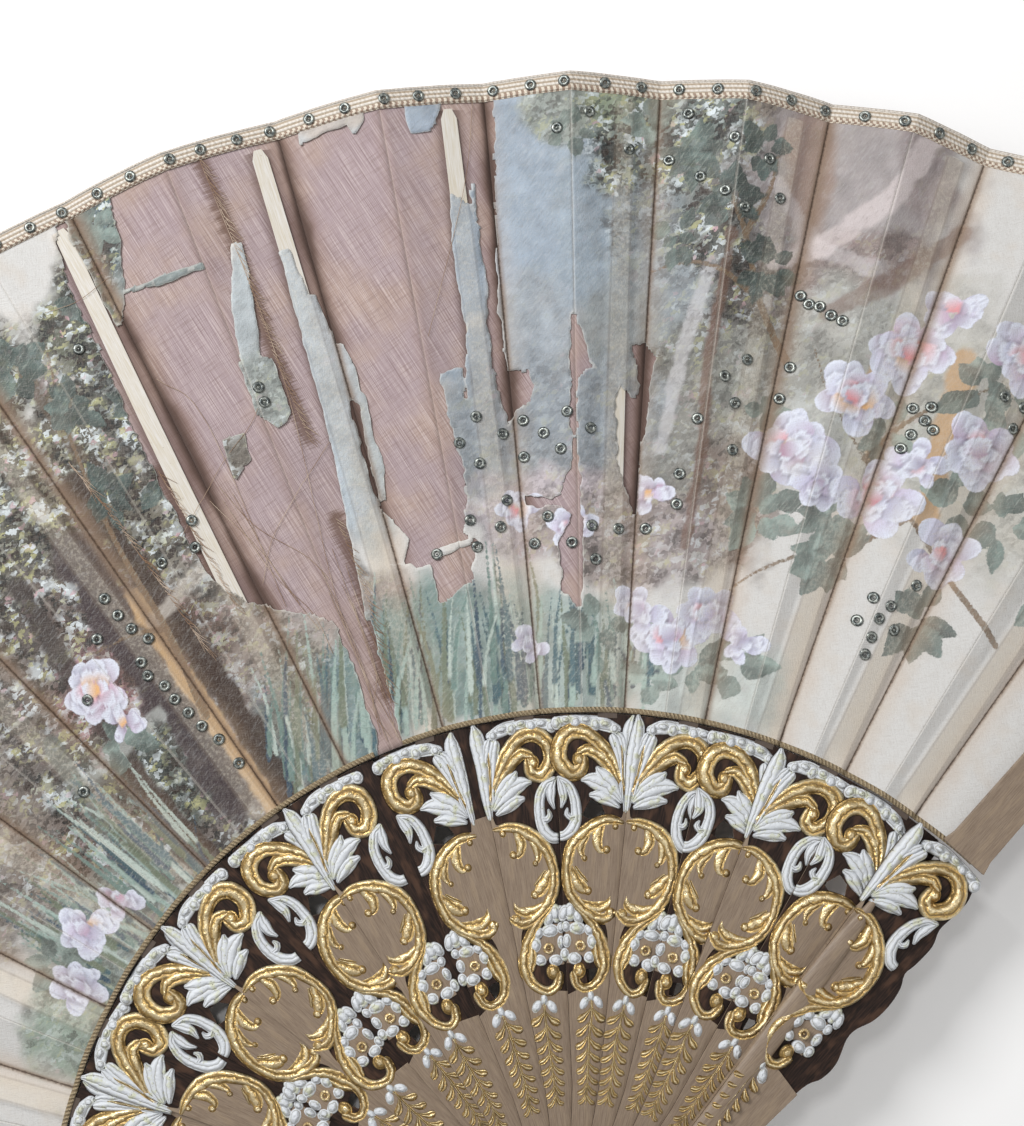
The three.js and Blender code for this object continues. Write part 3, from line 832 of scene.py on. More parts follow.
# Ornament of one half motif, as stations of distance from the flower seam, from the rivet, and half width.
GOLD_BANDS = {
    "scroll": [(20.4, 131.7, 0.64), (20, 134.9, 1.1), (19, 138.4, 1.7), (17.4, 142.1, 2.1),
               (15.2, 146.1, 2.3), (12.8, 149.2, 2.4), (10.2, 151.3, 2.4), (7.3, 152.2, 2.6),
               (4.3, 151.6, 2.7), (1.9, 149.4, 2.7), (0.9, 146.5, 2.7), (1, 143.6, 2.7), (2.7, 141, 2.6),
               (5, 139.9, 2.4), (7.1, 141.2, 2.3), (7.8, 143.5, 1.8)],
    "scroll leaf": [(19.6, 133.4, 0.43), (18.3, 137.8, 1.3), (16.5, 140.9, 1.9), (14.2, 143.7, 2.3),
                    (12, 145.7, 2.3), (9.7, 146.8, 2.1), (7.8, 146.2, 1.7)],
    "frame": [(18.3, 126.2, 1.2), (15.4, 126.5, 1.8), (12.8, 126, 2), (10.1, 124.7, 2.3), (7.6, 122.9, 2.4),
              (5.2, 120.5, 2.4), (3.6, 118.2, 2.2), (2.6, 115.3, 2.1), (2, 112.4, 1.9), (1.9, 108.9, 1.9),
              (2.5, 106, 2), (3.8, 103.5, 2.1), (5.4, 101.3, 2.2), (7.6, 99.6, 2.2), (9.9, 98.5, 2.1),
              (12.3, 98.3, 2), (14.1, 99.4, 1.8)],
    "frame top lobe": [(12.8, 125.2, 1.7), (11.5, 122.6, 2.5), (11.2, 120, 2.4), (12.1, 118, 1.9),
                       (13.6, 117.6, 1)],
    "frame corner lobe": [(8, 121.8, 1.6), (6.6, 119.2, 2), (6.3, 116.8, 1.7), (7.2, 114.8, 0.7)],
    "frame side lobe": [(2.2, 114.1, 1.1), (3.3, 111.3, 2.1), (4.8, 108.6, 2.8), (6.4, 106.7, 2.7),
                        (7.9, 105.8, 1.3)],
    "frame side leaf": [(4.4, 112.6, 0.71), (5.9, 110.6, 0.99), (7.4, 109, 0.71)],
    "frame foot lobe": [(5.8, 102.7, 1.7), (8, 101.6, 2.4), (10.6, 101.4, 2.6), (13, 102.4, 2),
                        (13.8, 104.2, 1.1)],
    "teardrop": [(2.6, 103.2, 0.85), (4.8, 100.4, 1.4), (7.3, 97.9, 1.6), (9.5, 94.8, 1.8), (11, 91.4, 2.1),
                 (11.6, 87.7, 2.3), (11.4, 84, 2), (9.8, 80.4, 1.8), (7.4, 78.3, 1.7), (4.8, 77.7, 1.7),
                 (2.9, 79.2, 1.6), (2.3, 81.5, 1.6)],
    "teardrop lobe": [(9.4, 91.4, 0.99), (9.5, 88.2, 1.8), (10, 85, 1.3)],
    "sprig stem": [(6.6, 75.4, 0.5), (6.4, 70, 0.57), (6, 64, 0.6), (5.4, 58, 0.57), (4.7, 51, 0.5),
                   (4.1, 45, 0.43)],
}
WHITE_BANDS = {
    "pendant leaf": [(0.5, 138, 0.9), (1.3, 135.4, 1.6), (1.5, 132.8, 1.3), (0.7, 130.2, 0.5)],
    "pendant curl": [(4.5, 127.6, 0.9), (3.1, 127.2, 1.1), (2.1, 128.2, 1), (2.4, 129.6, 0.5)],
    "pendant": [(0.5, 138.4, 0.9), (2.9, 137.2, 1.3), (4.5, 134.6, 1.6), (5.1, 131.4, 1.7), (5, 128, 1.8),
                (4.3, 125, 1.9), (3, 122.9, 1.9), (1.4, 121.6, 1.8), (-0.1, 121.3, 1.7)],
    "leaf upper lobe": [(18.9, 132.3, 0.7), (17.1, 136, 2), (14.9, 138.5, 2.8), (12.9, 140.2, 2.2),
                        (12, 141.4, 0.84)],
    "leaf middle lobe": [(18.4, 132.3, 0.84), (15.9, 135.2, 2.4), (12.8, 137.4, 2.8), (9.8, 138.3, 2.1),
                         (7.8, 138.3, 0.84)],
    "leaf lower lobe": [(17.6, 130.8, 0.84), (14.8, 132.6, 2.1), (12.2, 133.7, 2.1), (10.3, 133.9, 1.1)],
    "seam leaf": [(21.1, 139.9, 0.63), (20.8, 145.7, 1.1), (20.2, 149.5, 1.7), (19.6, 151.2, 1.3)],
}


# The plume stands on the shield seam: distance from that seam, from the rivet, and half width.
PLUME_BANDS = {
    "white": [[(0.2, 129.6, 0.84), (0.3, 134, 1.4), (0.6, 142, 2.1), (1, 150, 2.5), (1.1, 154, 2.1),
               (0.6, 156.4, 0.84)],
              [(1.6, 133.3, 0.84), (3, 141.4, 1.5), (4.3, 147.2, 2), (5.7, 150.4, 1.8)]],
    "gold": [[(1.5, 134, 0.49), (2.3, 140, 0.63), (3, 145.4, 0.7), (3.5, 149.4, 0.56)]],
}
GOLD_BEADS = [
    (6.7, 143.9, 2.5, 2.2, 0), (3.9, 83, 2.6, 2.1, 0), (13.8, 99.8, 2.2, 2.1, 0),
    (13.8, 118.2, 1.7, 1.6, 0), (7.6, 106.2, 1.9, 1.7, 0), (7.2, 115.2, 1.3, 1.2, 0),
    (16.6, 124.9, 1.5, 1.3, 0),
]
# White beads: distance from the flower seam, from the rivet, half length, half width, turn from the axis.
WHITE_BEADS = [
    (0.1, 99.3, 2.8, 1.6, -14), (2, 99.7, 3.1, 1.8, 0), (4.1, 98.4, 2.6, 1.6, 24), (3.9, 95, 2.1, 2.8, 0),
    (0.7, 91.2, 2.3, 1.4, 0), (8.4, 91.6, 2.4, 1.9, 10), (2.7, 86.4, 1.9, 2.3, 0), (7.2, 87, 2, 1.8, -35),
    (-0.2, 87.3, 2, 1.5, 0), (0.6, 95.4, 1.8, 1.4, 10), (7.4, 94.8, 1.9, 1.6, 30), (4.4, 73.6, 3, 1.8, -30),
    (8.6, 73.8, 3, 1.8, 30), (6.6, 75.6, 2.4, 1.4, 0),
]
# Beads of the crest along a stick's upper edge: distance from the flower seam, from the rivet, and size.
TOP_BEADS = [(0.3, 154, 2.3), (3.4, 155.2, 2), (6.3, 154.6, 2.2), (9.4, 155.7, 1.9), (12.3, 154.6, 2.2),
             (15.2, 155, 2), (17.9, 153.4, 1.8)]
TOP_BAND = [(-0.2, 154.4, 1.7), (5, 155, 1.9), (11, 155.3, 2), (15, 154.8, 2.2), (18.4, 153.4, 1.6)]
# The flower's eye, and the low wood that joins the beads and carries the scroll's stem.
FLOWER_EYE = (4.6, 90.1)
FLOWER_WEB = [(0.3, 96.6), (4.4, 97), (6.6, 93), (9, 92.4), (9.4, 89.6), (7, 88.6), (8.2, 86.2),
              (6.2, 85.4), (4.4, 87.6), (3.6, 84.8), (0.2, 85)]
STEM = [(19.9, 129.5), (19.2, 127.4), (17.6, 126), (19.4, 125.6)]
# Leaves of the engraved sprig: distance from the rivet and size.
SPRIG_LEAVES = [(70.4, 1), (66.4, 0.97), (62.6, 0.92), (59, 0.86),
                (55.5, 0.8), (52.2, 0.74), (49, 0.68), (46.2, 0.6)]


def carving(left, heights):
    """The gilt and the painted ornament of one stick, in its own millimetres."""
    gold = new_mesh()
    white = new_mesh()
    low = heights["ground"] - 0.08
    crest = heights["crest"]
    mid = low + (crest - low) * 0.86

    def on_stick(stations):
        return [(*carved(left, d, v), w) for d, v, w in stations]

    for name, stations in GOLD_BANDS.items():
        strip(gold, on_stick(stations), low, mid if name.endswith(("lobe", "leaf")) else crest)
    for d, v, long, wide, turn in GOLD_BEADS:
        x, y = carved(left, d, v)
        bead(gold, x, y, long, wide, turn, low, crest)
    for v, scale in SPRIG_LEAVES:
        stem = 4.1 + (v - 45) * 0.09
        for side in (-1, 1):
            bud = [(stem, v + 2.0, 0.3), (stem + side * 1.0 * scale, v + 0.5, 0.6),
                   (stem + side * 2.2 * scale, v - 0.8 * scale, 1.25 * scale),
                   (stem + side * 2.9 * scale, v - 1.2 * scale, 1.35 * scale)]
            strip(gold, on_stick(bud), heights["plain"] - 0.1, crest, step=1.2)
    x, y = carved(left, *FLOWER_EYE)
    ring(gold, x, y, 1.25, 0.45, mid - 0.25)
    bead(gold, x, y, 0.6, 0.6, 0, low, mid)

    for name, stations in WHITE_BANDS.items():
        tips = (True, False) if name == "pendant" else (True, True)
        strip(white, on_stick(stations), low, crest, tips=tips)
    for d, v, long, wide, turn in WHITE_BEADS:
        x, y = carved(left, d, v)
        bead(white, x, y, long, wide, turn if left else -turn, low, mid + 0.05)
    strip(white, on_stick(TOP_BAND), low, (low + mid) / 2, tips=(False, True))
    for k, (d, v, size) in enumerate(TOP_BEADS):
        x, y = carved(left, d, v)
        bead(white, x, y, size * (0.7 if k % 2 else 0.95), size * (1.05 if k % 2 else 0.8), 0, low, crest)
    for mesh, key in ((white, "white"), (gold, "gold")):
        for stations in PLUME_BANDS[key]:
            strip(mesh, [(*carved(left, motif_width(v) - c, v), w) for c, v, w in stations], low, crest)
    lay_uv(gold)
    lay_uv(white)
    return gold, white


def vary(data, seed):
    """Shift the carving a little, so that no two sticks are cut quite alike."""
    count = len(data.vertices)
    co = np.zeros(count * 3)
    data.vertices.foreach_get("co", co)
    co = co.reshape(-1, 3)
    co[:, 0] += (clouds(co[:, 0], co[:, 1], 9, seed) - 0.5) * 0.9
    co[:, 1] += (clouds(co[:, 0], co[:, 1], 9, seed + 50) - 0.5) * 0.9
    data.vertices.foreach_set("co", co.ravel())


def clouds(x, y, size, seed):
    """Smooth random values from 0 to 1 at points x, y, in patches of about this size."""
    table = np.random.default_rng(seed).random((128, 128))
    u, v = np.asarray(x) / size, np.asarray(y) / size
    column, row = np.floor(u).astype(int), np.floor(v).astype(int)
    fu, fv = u - column, v - row
    fu, fv = fu * fu * (3 - 2 * fu), fv * fv * (3 - 2 * fv)
    a, b = table[column % 128, row % 128], table[(column + 1) % 128, row % 128]
    c, d = table[column % 128, (row + 1) % 128], table[(column + 1) % 128, (row + 1) % 128]
    return (a * (1 - fu) + b * fu) * (1 - fv) + (c * (1 - fu) + d * fu) * fv


def rough_clouds(x, y, size, seed):
    """Clouds with smaller ones on them."""
    return (clouds(x, y, size, seed) * 0.55 + clouds(x, y, size * 0.47, seed + 1) * 0.3
            + clouds(x, y, size * 0.2, seed + 2) * 0.15)


def add_wood(left, heights, outline, holes):
    """One stick's wood: stained ground, then the raised plain wood on it."""
    mesh = new_mesh()
    plate(mesh, outline, heights["bottom"], heights["ground"], holes)
    for face in mesh.faces:
        face.normal_update()
    bmesh.ops.recalc_face_normals(mesh, faces=mesh.faces)
    for face in mesh.faces:
        face.material_index = 1 if face.normal.z > 0.5 else 0
    plate(mesh, plain_outline(left), heights["ground"] - 0.1, heights["plain"], [bore()])
    web = (heights["ground"] + heights["plain"]) / 2
    for outline in (FLOWER_WEB, STEM):
        plate(mesh, [carved(left, d, v) for d, v in outline], heights["ground"] - 0.1, web)
    return mesh


def fit_wood(piece, i, rounding):
    """Put the wood of stick i in the place of the frame's own."""
    soften(piece, rounding)
    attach(piece, BODIES[i])
    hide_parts(BODIES[i])


# Ribs pulled aside by the torn leaf: how far at the tip, and how soon along the rib.
RIB_BENDS = {7: (9.2, 1.4), 8: (6.7, 0.5)}


def rib_shift(i, y):
    """How far the rib's middle line lies to the right of the stick's axis."""
    tip, power = RIB_BENDS.get(i, (0, 1))
    return tip * along_rib(y) ** power


def rib_height(i, x, y):
    """Height of the rib's middle over the stick's underside at x, y."""
    turned = share_of((y - BLADE_TOP) / TWIST_LENGTH)
    return 0.25 + 0.25 * turned - x * panel_fall(i) * turned


def along_rib(y):
    """Share of the way from the rib's root to its tip."""
    return share_of((y - BLADE_TOP) / (RIB_END - BLADE_TOP))


def rib_half(y):
    return RIB_HALF_ROOT + (RIB_HALF_TIP - RIB_HALF_ROOT) * along_rib(y)


def add_rib(i):
    """The rib of a stick: a grid shaped to its taper and twist, then thickened."""
    mesh = new_mesh()
    corners = bmesh.ops.create_grid(mesh, x_segments=2, y_segments=60, size=1)["verts"]
    start = BLADE_TOP - 1.2
    for corner in corners:
        y = start + (corner.co.y + 1) / 2 * (RIB_END - start)
        rounding = 1 - 0.5 * max(0.0, (y - RIB_END + 2.4) / 2.4) ** 2
        x = corner.co.x * float(rib_half(y)) * rounding + float(rib_shift(i, y))
        corner.co = (x, y, float(rib_height(i, x, y)) - RIB_THICKNESS / 2)
    raised = bmesh.ops.extrude_face_region(mesh, geom=list(mesh.faces))
    bmesh.ops.translate(mesh, vec=(0, 0, RIB_THICKNESS), verts=made(raised, bmesh.types.BMVert))
    lay_uv(mesh)
    piece = new_piece(f"rib_{i:02d}", mesh, [rib_finish], stick_matrix(i))
    soften(piece, sizes().edge_round * 0.8)
    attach(piece, BODIES[i])


def guard_outline(i):
    """A guard's carved part seen from above, with scallops on the side of its flowers."""
    side = -1 if flower_on_left(i) else 1
    scallops = [(78, 9.2), (84, 11.6), (90, 11.9), (97, 9.6), (101, 9.8), (106, 11.8), (112, 12.4),
                (118, 11.6), (122, 9.8), (126, 10.4), (133, 10.6), (138, 9), (143, 9.4), (149, 9.8),
                (154, GUARD_WAIST)]
    plain = [(SHAFT_TOP, HEAD_RADIUS), (124, half_width(124)), (132, 12.2), (142, 9.6), (150, GUARD_WAIST)]
    curve = smooth_path([(w, v) for v, w in [(SHAFT_TOP + 10, HEAD_RADIUS + 0.6)] + scallops], 1.5)
    flowered = [(side * HEAD_RADIUS, SHAFT_TOP)] + [(side * w, v) for w, v in curve]
    other = [(-side * w, v) for v, w in plain]
    right, left = (flowered, other) if side > 0 else (other, flowered)
    return head_arc(0) + right + left[::-1]


def guard_bar(mesh, bottom, top):
    """The plain upper part of a guard, slightly crowned."""
    root = BLADE_TOP + 0.6
    side = [(BAR_HALF_ROOT + 0.9, root), (BAR_HALF_ROOT, root + 4), (BAR_HALF_TIP, GUARD_END - BAR_HALF_TIP),
            (BAR_HALF_TIP * 0.86, GUARD_END - 2.4), (BAR_HALF_TIP * 0.5, GUARD_END - 1)]
    plate(mesh, side + [(-x, y) for x, y in reversed(side)], bottom, top)


class FAN_OT_sticks(Operator):
    """Make the wood of the sticks and their ribs"""
    bl_idname = "fan.sticks"
    bl_label = "Sticks"

    def execute(self, context):
        for i in range(1, LAST):
            left = flower_on_left(i)
            holes = [bore()]
            if left:
                holes += [[carved(left, d, v) for d, v in opening] for opening in PIERCINGS]
            mesh = add_wood(left, STICK_LAYERS, blade_outline(), holes)
            lay_uv(mesh)
            piece = new_piece(f"stick_wood_{i:02d}", mesh, [wood_finish, ground_finish], stick_matrix(i))
            fit_wood(piece, i, sizes().edge_round)
            add_rib(i)
        return {"FINISHED"}


# The rounded ridge along a guard's plain side: distance from the rivet, and half width.
GUARD_RIDGE = [(-2, 3), (20, 3), (50, 3), (80, 3.2), (105, 3.2), (118, 2.7), (126, 1.7), (131, 1)]


class FAN_OT_guards(Operator):
    """Make the wood of the two guards"""
    bl_idname = "fan.guards"
    bl_label = "Guards"

    def execute(self, context):
        for i in (0, LAST):
            left = flower_on_left(i)
            heights = layers(i)
            mesh = add_wood(left, heights, guard_outline(i), [bore()])
            if i == 0:
                guard_bar(mesh, 0, REAR_BAR_THICKNESS)
            else:
                guard_bar(mesh, leaf_middle(LAST) + 0.55 - level(LAST), FRONT_GUARD_THICKNESS)
            side = -1 if left else 1
            seam = [(side * (2.9 - half_width(v)), v, w) for v, w in GUARD_RIDGE]
            ridge_top = FRONT_GUARD_THICKNESS if i else heights["crest"]
            strip(mesh, seam, heights["plain"] - 0.2, ridge_top, step=2.5, sides=10)
            lay_uv(mesh)
            finishes = [wood_finish, ground_finish]
            piece = new_piece(f"guard_wood_{i:02d}", mesh, finishes, stick_matrix(i), smooth=35)
            fit_wood(piece, i, sizes().edge_round * 3)
        return {"FINISHED"}


def ornament(name, mesh, material):
    """One kind of stick's ornament, to be copied for each stick."""
    bmesh.ops.recalc_face_normals(mesh, faces=mesh.faces)
    return to_data(name, mesh, [material])


class FAN_OT_carving(Operator):
    """Lay the gilt and white ornament on every stick and guard"""
    bl_idname = "fan.carving"
    bl_label = "Carving"

    def execute(self, context):
        patterns = {}
        for i in range(STICK_COUNT):
            heights = layers(i)
            key = (flower_on_left(i), heights["crest"])
            if key not in patterns:
                gold, white = carving(key[0], heights)
                patterns[key] = [ornament("gold", gold, gold_finish),
                                 ornament("white", white, white_finish)]
            for name, pattern in zip(("gold", "white"), patterns[key]):
                data = pattern.copy()
                vary(data, 7 * i)
                piece = new_object(f"carving_{name}_{i:02d}", data, stick_matrix(i), smooth=180)
                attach(piece, BODIES[i])
        for pair in patterns.values():
            for pattern in pair:
                bpy.data.meshes.remove(pattern)
        return {"FINISHED"}


# Leaf


def leaf_middle(i):
    """Height of the leaf's middle surface on the axis of stick i."""
    if i == 0:
        return REAR_BAR_THICKNESS + 0.3 + 0.25
    if i == LAST:
        reach = LEAF_OUTER * sin(radians(GUARD_PANEL_HALF))
        return leaf_middle(LAST - 1) + reach * panel_fall(LAST - 1) + 0.5 + 0.3
    return level(i) + 0.5


def mountain_offset(i):
    return -GUARD_PANEL_HALF if i in (0, LAST) else -MOUNTAIN_SHARE * GAPS[i - 1]


def valley_offset(i):
    return GUARD_PANEL_HALF if i == LAST else VALLEY_SHARE * GAPS[i]


def panel_height(i, x, y):
    """Height of panel i's plane at a plan point."""
    turn = radians(BEARINGS[i])
    sideways = x * cos(turn) - y * sin(turn)
    return leaf_middle(i) - sideways * panel_fall(i)


class Facet:
    """One flat strip of the pleated leaf, between two folds."""

    def __init__(self, index, free):
        self.index = index
        self.free = free
        self.node = f"leaf_fold_{index:02d}" if free else f"leaf_panel_{index:02d}"
        self.left = BEARINGS[index] + (valley_offset(index) if free else mountain_offset(index))
        self.right = (BEARINGS[index + 1] + mountain_offset(index + 1) if free
                      else BEARINGS[index] + valley_offset(index))

    def height(self, x, y):
        """Height of the leaf's middle surface at plan points of this facet."""
        if not self.free:
            return panel_height(self.index, x, y)
        r = np.hypot(x, y)
        share = (np.degrees(np.arctan2(x, y)) - self.left) / (self.right - self.left)
        left, right = radians(self.left), radians(self.right)
        start = panel_height(self.index, r * sin(left), r * cos(left))
        end = panel_height(self.index + 1, r * sin(right), r * cos(right))
        return start + (end - start) * share

    def attach(self, piece):
        """Make a piece follow this facet when the fan folds."""
        if not self.free:
            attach(piece, BODIES[self.index])
            return
        hold = HOLD_RADIUS * MM
        start, end = [Vector((hold * sin(radians(b)), hold * cos(radians(b)), 0))
                      for b in (self.left, self.right)]
        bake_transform(piece, BODIES[self.index], BODIES[self.index + 1], start=start, end=end)

    def flat_size(self):
        """Width and length of the cloth the facet is cut from, in metres."""
        length = (LEAF_OUTER - LEAF_INNER) * MM
        return LEAF_OUTER * radians(self.right - self.left) * MM, length


FACETS = [facet for i in range(STICK_COUNT) for facet in
          ([Facet(i, False)] + ([Facet(i, True)] if i < LAST else []))]


def facet_points(facet, step):
    """Plan points of a facet's grid, row by row outwards, and the grid's size."""
    columns = max(3, ceil(LEAF_OUTER * radians(facet.right - facet.left) / step))
    rows = ceil((LEAF_OUTER - LEAF_INNER) / step)
    across, out = np.meshgrid(np.linspace(0, 1, columns + 1), np.linspace(0, 1, rows + 1))
    bearing = np.radians(facet.left + across.ravel() * (facet.right - facet.left))
    r = LEAF_INNER + out.ravel() * (LEAF_OUTER - LEAF_INNER)
    return r * np.sin(bearing), r * np.cos(bearing), columns, rows


def fold_distances(facet, x, y):
    """Distances in mm to the nearest valley fold, mountain fold and rib edge (negative on the rib)."""
    r = np.hypot(x, y)
    bearing = np.degrees(np.arctan2(x, y))

    def away(edge):
        return np.abs(np.radians(bearing - edge)) * r

    first, last = away(facet.left), away(facet.right)
    valley, ridge = (first, last) if facet.free else (last, first)
    if facet.index == 0 and not facet.free:
        ridge = np.full_like(r, FAR)
    if facet.index == LAST:
        valley = np.full_like(r, FAR)
    rib = np.full_like(r, FAR)
    if 0 < facet.index < LAST and not facet.free:
        sideways = np.radians(bearing - BEARINGS[facet.index]) * r - rib_shift(facet.index, r)
        rib = np.abs(sideways) - rib_half(r)
        rib = np.where(r > RIB_END, FAR, rib)
    return valley, ridge, rib


def over_rib(facet, x, y, rib):
    """How far the painted silk stands above the leaf's middle surface where it passes over a rib."""
    if facet.free or not 0 < facet.index < LAST:
        return np.zeros_like(x)
    i = facet.index
    turn = radians(BEARINGS[i])
    aside = x * cos(turn) - y * sin(turn)
    out = x * sin(turn) + y * cos(turn)
    top = rib_height(i, aside, out) + RIB_THICKNESS / 2
    flat = leaf_middle(i) - level(i) - aside * panel_fall(i)
    share = share_of((1.9 - rib) / 1.5)
    return np.maximum(top - flat + 0.24, 0) * share * share * (3 - 2 * share)


def lay_on_cloth(mesh, facet, lift):
    """Raise a flat mesh onto the facet's painted silk."""
    x, y = np.array([(corner.co.x, corner.co.y) for corner in mesh.verts]).T
    valley, ridge, rib = fold_distances(facet, x, y)
    raised = facet.height(x, y) + over_rib(facet, x, y, rib) + ripple(x, y) * calm(valley, ridge, rib) + lift
    for corner, z in zip(mesh.verts, raised):
        corner.co.z += z


def ripple(x, y):
    """Small waves of the cloth, in mm. They die out at the folds of the stack's tight inner edge."""
    outward = np.clip((np.hypot(x, y) - LEAF_INNER) / 60, 0.25, 1)
    height = sizes().ripple / MM
    return outward * height * ((clouds(x, y, 17, 3) - 0.5) * 1.4 + (clouds(x, y, 6.5, 4) - 0.5) * 0.6)


def calm(valley, ridge, rib):
    """Keeps the cloth's small waves off its folds and off the ribs."""
    return share_of(np.minimum(np.minimum(valley, ridge) / 3, rib / 4))


def path_field(x, y, points):
    """Distance of points from a line through the given ones."""
    nearest = np.full(x.shape, 1e9)
    for (ax, ay), (bx, by) in zip(points, points[1:]):
        ex, ey = bx - ax, by - ay
        t = share_of(((x - ax) * ex + (y - ay) * ey) / (ex * ex + ey * ey))
        nearest = np.minimum(nearest, np.hypot(x - ax - ex * t, y - ay - ey * t))
    return nearest


def polygon_field(x, y, polygon):
    """Signed distance of points from a polygon, negative inside."""
    inside = np.zeros(x.shape, bool)
    nearest = np.full(x.shape, 1e9)
    for (ax, ay), (bx, by) in zip(polygon, polygon[1:] + polygon[:1]):
        ex, ey = bx - ax, by - ay
        px, py = x - ax, y - ay
        t = share_of((px * ex + py * ey) / (ex * ex + ey * ey + 1e-9))
        nearest = np.minimum(nearest, np.hypot(px - ex * t, py - ey * t))
        crosses = (ay > y) != (by > y)
        inside ^= crosses & (px < ex * py / (ey if abs(ey) > 1e-9 else 1e-9))
    return np.where(inside, -nearest, nearest)


# Where the painted silk is gone, and the scraps of it that still hang on: outlines in plan, from the rivet.
TEARS = [
    [(-142, 317), (-137, 299), (-137, 277), (-136, 273), (-127, 250), (-112, 221), (-97, 191), (-88, 189),
     (-75, 186), (-72, 182), (-63, 186), (-62, 200), (-68, 224), (-75, 246), (-82, 269), (-86, 288),
     (-84, 297), (-88, 313), (-91, 345), (-142, 345)],
    [(-158, 305), (-153, 287), (-132, 241), (-117, 209), (-109, 197), (-97, 191), (-112, 221), (-127, 250),
     (-136, 273), (-152, 303), (-157, 312)],
    [(-93, 328), (-95, 352), (-32, 352), (-32, 312), (-34, 261), (-34, 252), (-35, 261), (-42, 259),
     (-39, 244), (-36, 236), (-34, 227), (-35, 212), (-31, 208), (-33, 200), (-32, 197), (-42, 191),
     (-45, 202), (-54, 202), (-58, 202), (-59, 204), (-61, 222), (-70, 252), (-84, 291)],
    [(-34, 352), (-25, 352), (-25, 312), (-24, 281), (-23, 271), (-22, 260), (-21, 259), (-15, 260),
     (-14, 253), (-16, 250), (-20, 248), (-21, 244), (-24, 254), (-25, 254), (-27, 274)],
    [(-2, 277), (1, 271), (3, 262), (5, 260), (0, 259), (-1, 252), (-1, 239), (0, 216), (0, 205), (0, 189),
     (-2, 189), (-6, 194), (-7, 207), (-3, 216), (-6, 219), (-16, 219), (-17, 222), (-6, 222), (-3, 233),
     (-3, 257)],
    [(12, 255), (14, 254), (16, 252), (18, 253), (17, 261), (16, 267), (20, 268), (23, 263), (22, 258),
     (20, 247), (17, 232), (16, 216), (11, 232), (11, 251)],
    [(-76, 190), (-70, 177), (-66, 167), (-63, 158), (-61, 150), (-60, 142), (-51, 142), (-53, 148),
     (-56, 161), (-60, 174), (-63, 190)],
]
SCRAPS = [
    [(-154, 320), (-144, 330), (-140, 309), (-138, 301), (-138, 289), (-137, 277), (-139, 275), (-144, 284),
     (-147, 291), (-154, 303)],
    [(-102, 263), (-96, 265), (-92, 265), (-86, 248), (-88, 244), (-90, 243), (-96, 247), (-99, 255)],
    [(-107, 240), (-100, 242), (-98, 234), (-103, 228), (-105, 233)],
    [(-137, 286), (-127, 289), (-111, 294), (-110, 292), (-125, 287), (-137, 285)],
    [(-90, 297), (-87, 298), (-81, 284), (-79, 284), (-73, 269), (-71, 269), (-67, 262), (-66, 255),
     (-64, 253), (-62, 241), (-59, 234), (-58, 222), (-60, 221), (-63, 233), (-66, 250), (-69, 253),
     (-68, 243), (-62, 225), (-60, 219), (-51, 210), (-53, 203), (-57, 202), (-60, 186), (-64, 186),
     (-75, 241)],
    [(-38, 314), (-32, 311), (-29, 297), (-27, 285), (-28, 276), (-34, 274), (-36, 285), (-38, 300)],
    [(-52, 352), (-41, 352), (-41, 340), (-44, 333), (-50, 332), (-52, 338)],
    [(-84, 352), (-84, 330), (-76, 333), (-69, 335), (-67, 331), (-64, 336), (-63, 352)],
    [(-104, 299), (-101, 300), (-97, 280), (-95, 264), (-101, 262), (-104, 280)],
    [(-44, 205), (-42, 207), (-32, 210), (-32, 208), (-40, 205), (-44, 204)],
]


def torn_field(x, y):
    """Signed distance into the torn part: positive where the painted silk is gone."""
    jag = (rough_clouds(x, y, 3.2, 60) - 0.5) * 2.6
    gone = np.full(x.shape, -1e9)
    for tear in TEARS:
        gone = np.maximum(gone, -polygon_field(x, y, tear))
    gone = gone + jag
    kept = np.full(x.shape, 1e9)
    for scrap in SCRAPS:
        kept = np.minimum(kept, polygon_field(x, y, scrap))
    return np.minimum(gone, kept + jag * 0.4)


